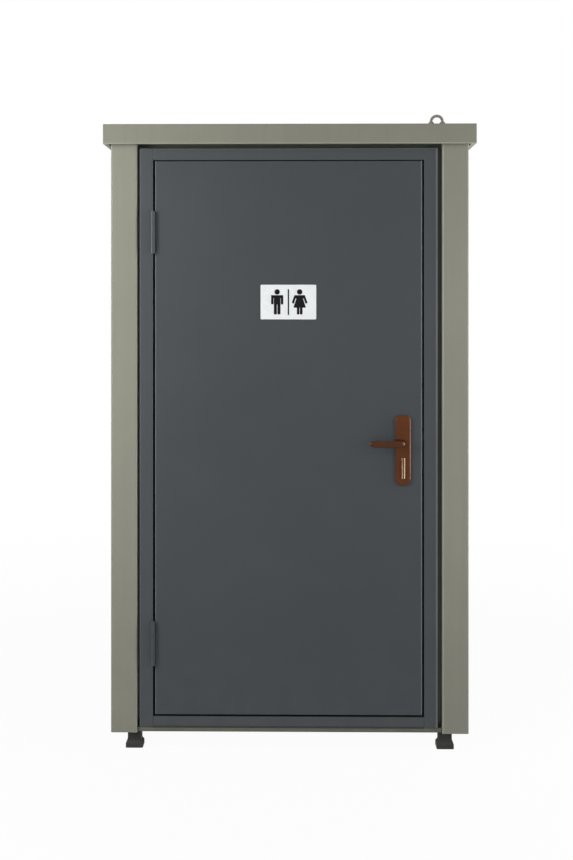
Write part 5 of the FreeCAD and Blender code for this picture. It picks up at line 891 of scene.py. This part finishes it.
def make_mirror_clips():
    """Four plated clips that hold the mirror by its upper and lower edges."""
    low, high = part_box("mirror")
    outline = rounded([(-0.009, -0.007), (0.009, -0.007), (0.009, 0.009), (-0.009, 0.009)], 0.003, 3)
    bm = bmesh.new()
    for y in (low.y + CLIP_INSET, high.y - CLIP_INSET):
        for z, up in ((low.z, -1.0), (high.z, 1.0)):
            extrude_outline(bm, outline, lambda u, v, w: Vector((high.x - w, y + u, z + up * v)),
                            CLIP_THICKNESS)
    add_piece("mirror_clips", bm, "cabin", "chrome", smooth=False, bevel=0.0012)


def make_basin_sealant():
    """Sealing bead between the basin's upper edge and the wall, thinner towards its ends."""
    low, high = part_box("washbasin")
    length = high.y - low.y - 2.0 * SEALANT_INSET
    rings = list(SEALANT_TAPER) + [(radius, length - run) for radius, run in reversed(SEALANT_TAPER)]
    bm = bmesh.new()
    lathe(bm, rings, (high.x, low.y + SEALANT_INSET, high.z), (0, 1, 0), segments=12)
    add_piece("basin_sealant", bm, "cabin", "seat_plastic", trim_white)


def make_vent_mesh():
    """Insect mesh over the inner mouth of the vent duct."""
    low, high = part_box("vent_grille")
    middle = (low + high) / 2.0
    y = low.y + MESH_DEPTH
    diameter = 2.0 * MESH_WIRE
    count = int(2.0 * MESH_REACH / MESH_PITCH)
    bm = bmesh.new()
    for i in range(count + 1):
        offset = -MESH_REACH + i * 2.0 * MESH_REACH / count
        upright = (MESH_WIRE, MESH_REACH, Vector((middle.x + offset, y, middle.z)))
        level = (MESH_REACH, MESH_WIRE, Vector((middle.x, y + diameter, middle.z + offset)))
        for half_u, half_v, place in (upright, level):
            corners = ((-half_u, -half_v), (half_u, -half_v), (half_u, half_v), (-half_u, half_v))
            extrude_outline(bm, corners, lambda u, v, w: place + Vector((u, w, v)), diameter)
    add_piece("vent_mesh", bm, "cabin", "vent_aluminium", smooth=False)


make_toilet_caps()
make_mirror_clips()
make_basin_sealant()
make_vent_mesh()

# Stage and light
FLOOR_RADIUS = 30.0
FLOOR_GREY = (0.55, 0.55, 0.55, 1.0)
FLOOR_FADE = (("From Min", 1.5), ("From Max", 4.5), ("To Min", 0.96), ("To Max", 1.0))
AMBIENT_LEVEL = 0.15
WHITE = (1.0, 1.0, 1.0, 1.0)


def seen_directly(tree):
    """1 where the ray comes from the camera, a reflection or a transmission."""
    path = tree.nodes.new("ShaderNodeLightPath")
    result = path.outputs["Is Camera Ray"]
    for name in ("Is Glossy Ray", "Is Transmission Ray"):
        most = tree.nodes.new("ShaderNodeMath")
        most.operation = "MAXIMUM"
        tree.links.new(result, most.inputs[0])
        tree.links.new(path.outputs[name], most.inputs[1])
        result = most.outputs[0]
    return result


def make_floor():
    """Floor that looks white, a little less so near the cabin, where its shadow stays."""
    bm = bmesh.new()
    bmesh.ops.create_circle(bm, cap_ends=True, segments=96, radius=FLOOR_RADIUS)
    mesh = bpy.data.meshes.new("floor")
    bm.to_mesh(mesh)
    bm.free()
    floor = bpy.data.objects.new("floor", mesh)
    bpy.context.scene.collection.objects.link(floor)
    material = bpy.data.materials.new("floor")
    material.use_nodes = True
    tree = material.node_tree
    tree.nodes.clear()
    diffuse = tree.nodes.new("ShaderNodeBsdfDiffuse")
    diffuse.inputs["Color"].default_value = FLOOR_GREY
    glow = tree.nodes.new("ShaderNodeEmission")
    glow.inputs["Color"].default_value = WHITE
    place = tree.nodes.new("ShaderNodeTexCoord")
    distance = tree.nodes.new("ShaderNodeVectorMath")
    distance.operation = "LENGTH"
    tree.links.new(place.outputs["Object"], distance.inputs[0])
    fade = tree.nodes.new("ShaderNodeMapRange")
    for key, number in FLOOR_FADE:
        fade.inputs[key].default_value = number
    tree.links.new(distance.outputs["Value"], fade.inputs["Value"])
    share = tree.nodes.new("ShaderNodeMath")
    share.operation = "MULTIPLY"
    tree.links.new(fade.outputs["Result"], share.inputs[1])
    mix = tree.nodes.new("ShaderNodeMixShader")
    out = tree.nodes.new("ShaderNodeOutputMaterial")
    tree.links.new(seen_directly(tree), share.inputs[0])
    tree.links.new(share.outputs[0], mix.inputs["Fac"])
    tree.links.new(diffuse.outputs[0], mix.inputs[1])
    tree.links.new(glow.outputs[0], mix.inputs[2])
    tree.links.new(mix.outputs[0], out.inputs["Surface"])
    mesh.materials.append(material)


def make_world():
    world = bpy.data.worlds.new("world")
    world.use_nodes = True
    bpy.context.scene.world = world
    tree = world.node_tree
    tree.nodes.clear()
    ambient = tree.nodes.new("ShaderNodeBackground")
    ambient.inputs["Color"].default_value = WHITE
    ambient.inputs["Strength"].default_value = AMBIENT_LEVEL
    shown = tree.nodes.new("ShaderNodeBackground")
    shown.inputs["Color"].default_value = WHITE
    shown.inputs["Strength"].default_value = 1.0
    mix = tree.nodes.new("ShaderNodeMixShader")
    out = tree.nodes.new("ShaderNodeOutputWorld")
    tree.links.new(seen_directly(tree), mix.inputs["Fac"])
    tree.links.new(ambient.outputs[0], mix.inputs[1])
    tree.links.new(shown.outputs[0], mix.inputs[2])
    tree.links.new(mix.outputs[0], out.inputs["Surface"])


def soft_light(name, place, aim, width, height, power):
    data = bpy.data.lights.new(name, "AREA")
    data.shape = "RECTANGLE"
    data.size = width
    data.size_y = height
    data.energy = power
    light = bpy.data.objects.new(name, data)
    light.location = place
    direction = Vector(aim) - Vector(place)
    light.rotation_euler = direction.to_track_quat("-Z", "Y").to_euler()
    bpy.context.scene.collection.objects.link(light)


make_floor()
make_world()
soft_light("left_high_light", (-2.6, -3.5, 3.3), (-0.3, -0.7, 1.7), 1.8, 1.8, 51.0)
soft_light("left_light", (-2.5, -3.0, 1.9), (-0.3, -0.7, 1.6), 1.2, 1.8, 22.0)
soft_light("left_near_light", (-1.9, -1.9, 1.7), (-0.3, -0.7, 1.6), 0.6, 1.6, 27.0)
soft_light("right_strip_light", (2.1, -0.95, 1.5), (0.0, -0.75, 1.5), 0.4, 2.2, 30.0)
soft_light("right_near_light", (2.0, -2.0, 1.6), (0.3, -0.7, 1.6), 0.6, 1.6, 17.0)
soft_light("rear_light", (1.0, 5.5, 2.4), (0.0, 0.7, 1.1), 5.0, 4.0, 190.0)
soft_light("overhead_light", (0.2, 0.6, 5.2), (0.0, 0.2, 2.2), 2.6, 2.6, 60.0)
bpy.context.scene.view_settings.view_transform = "Standard"
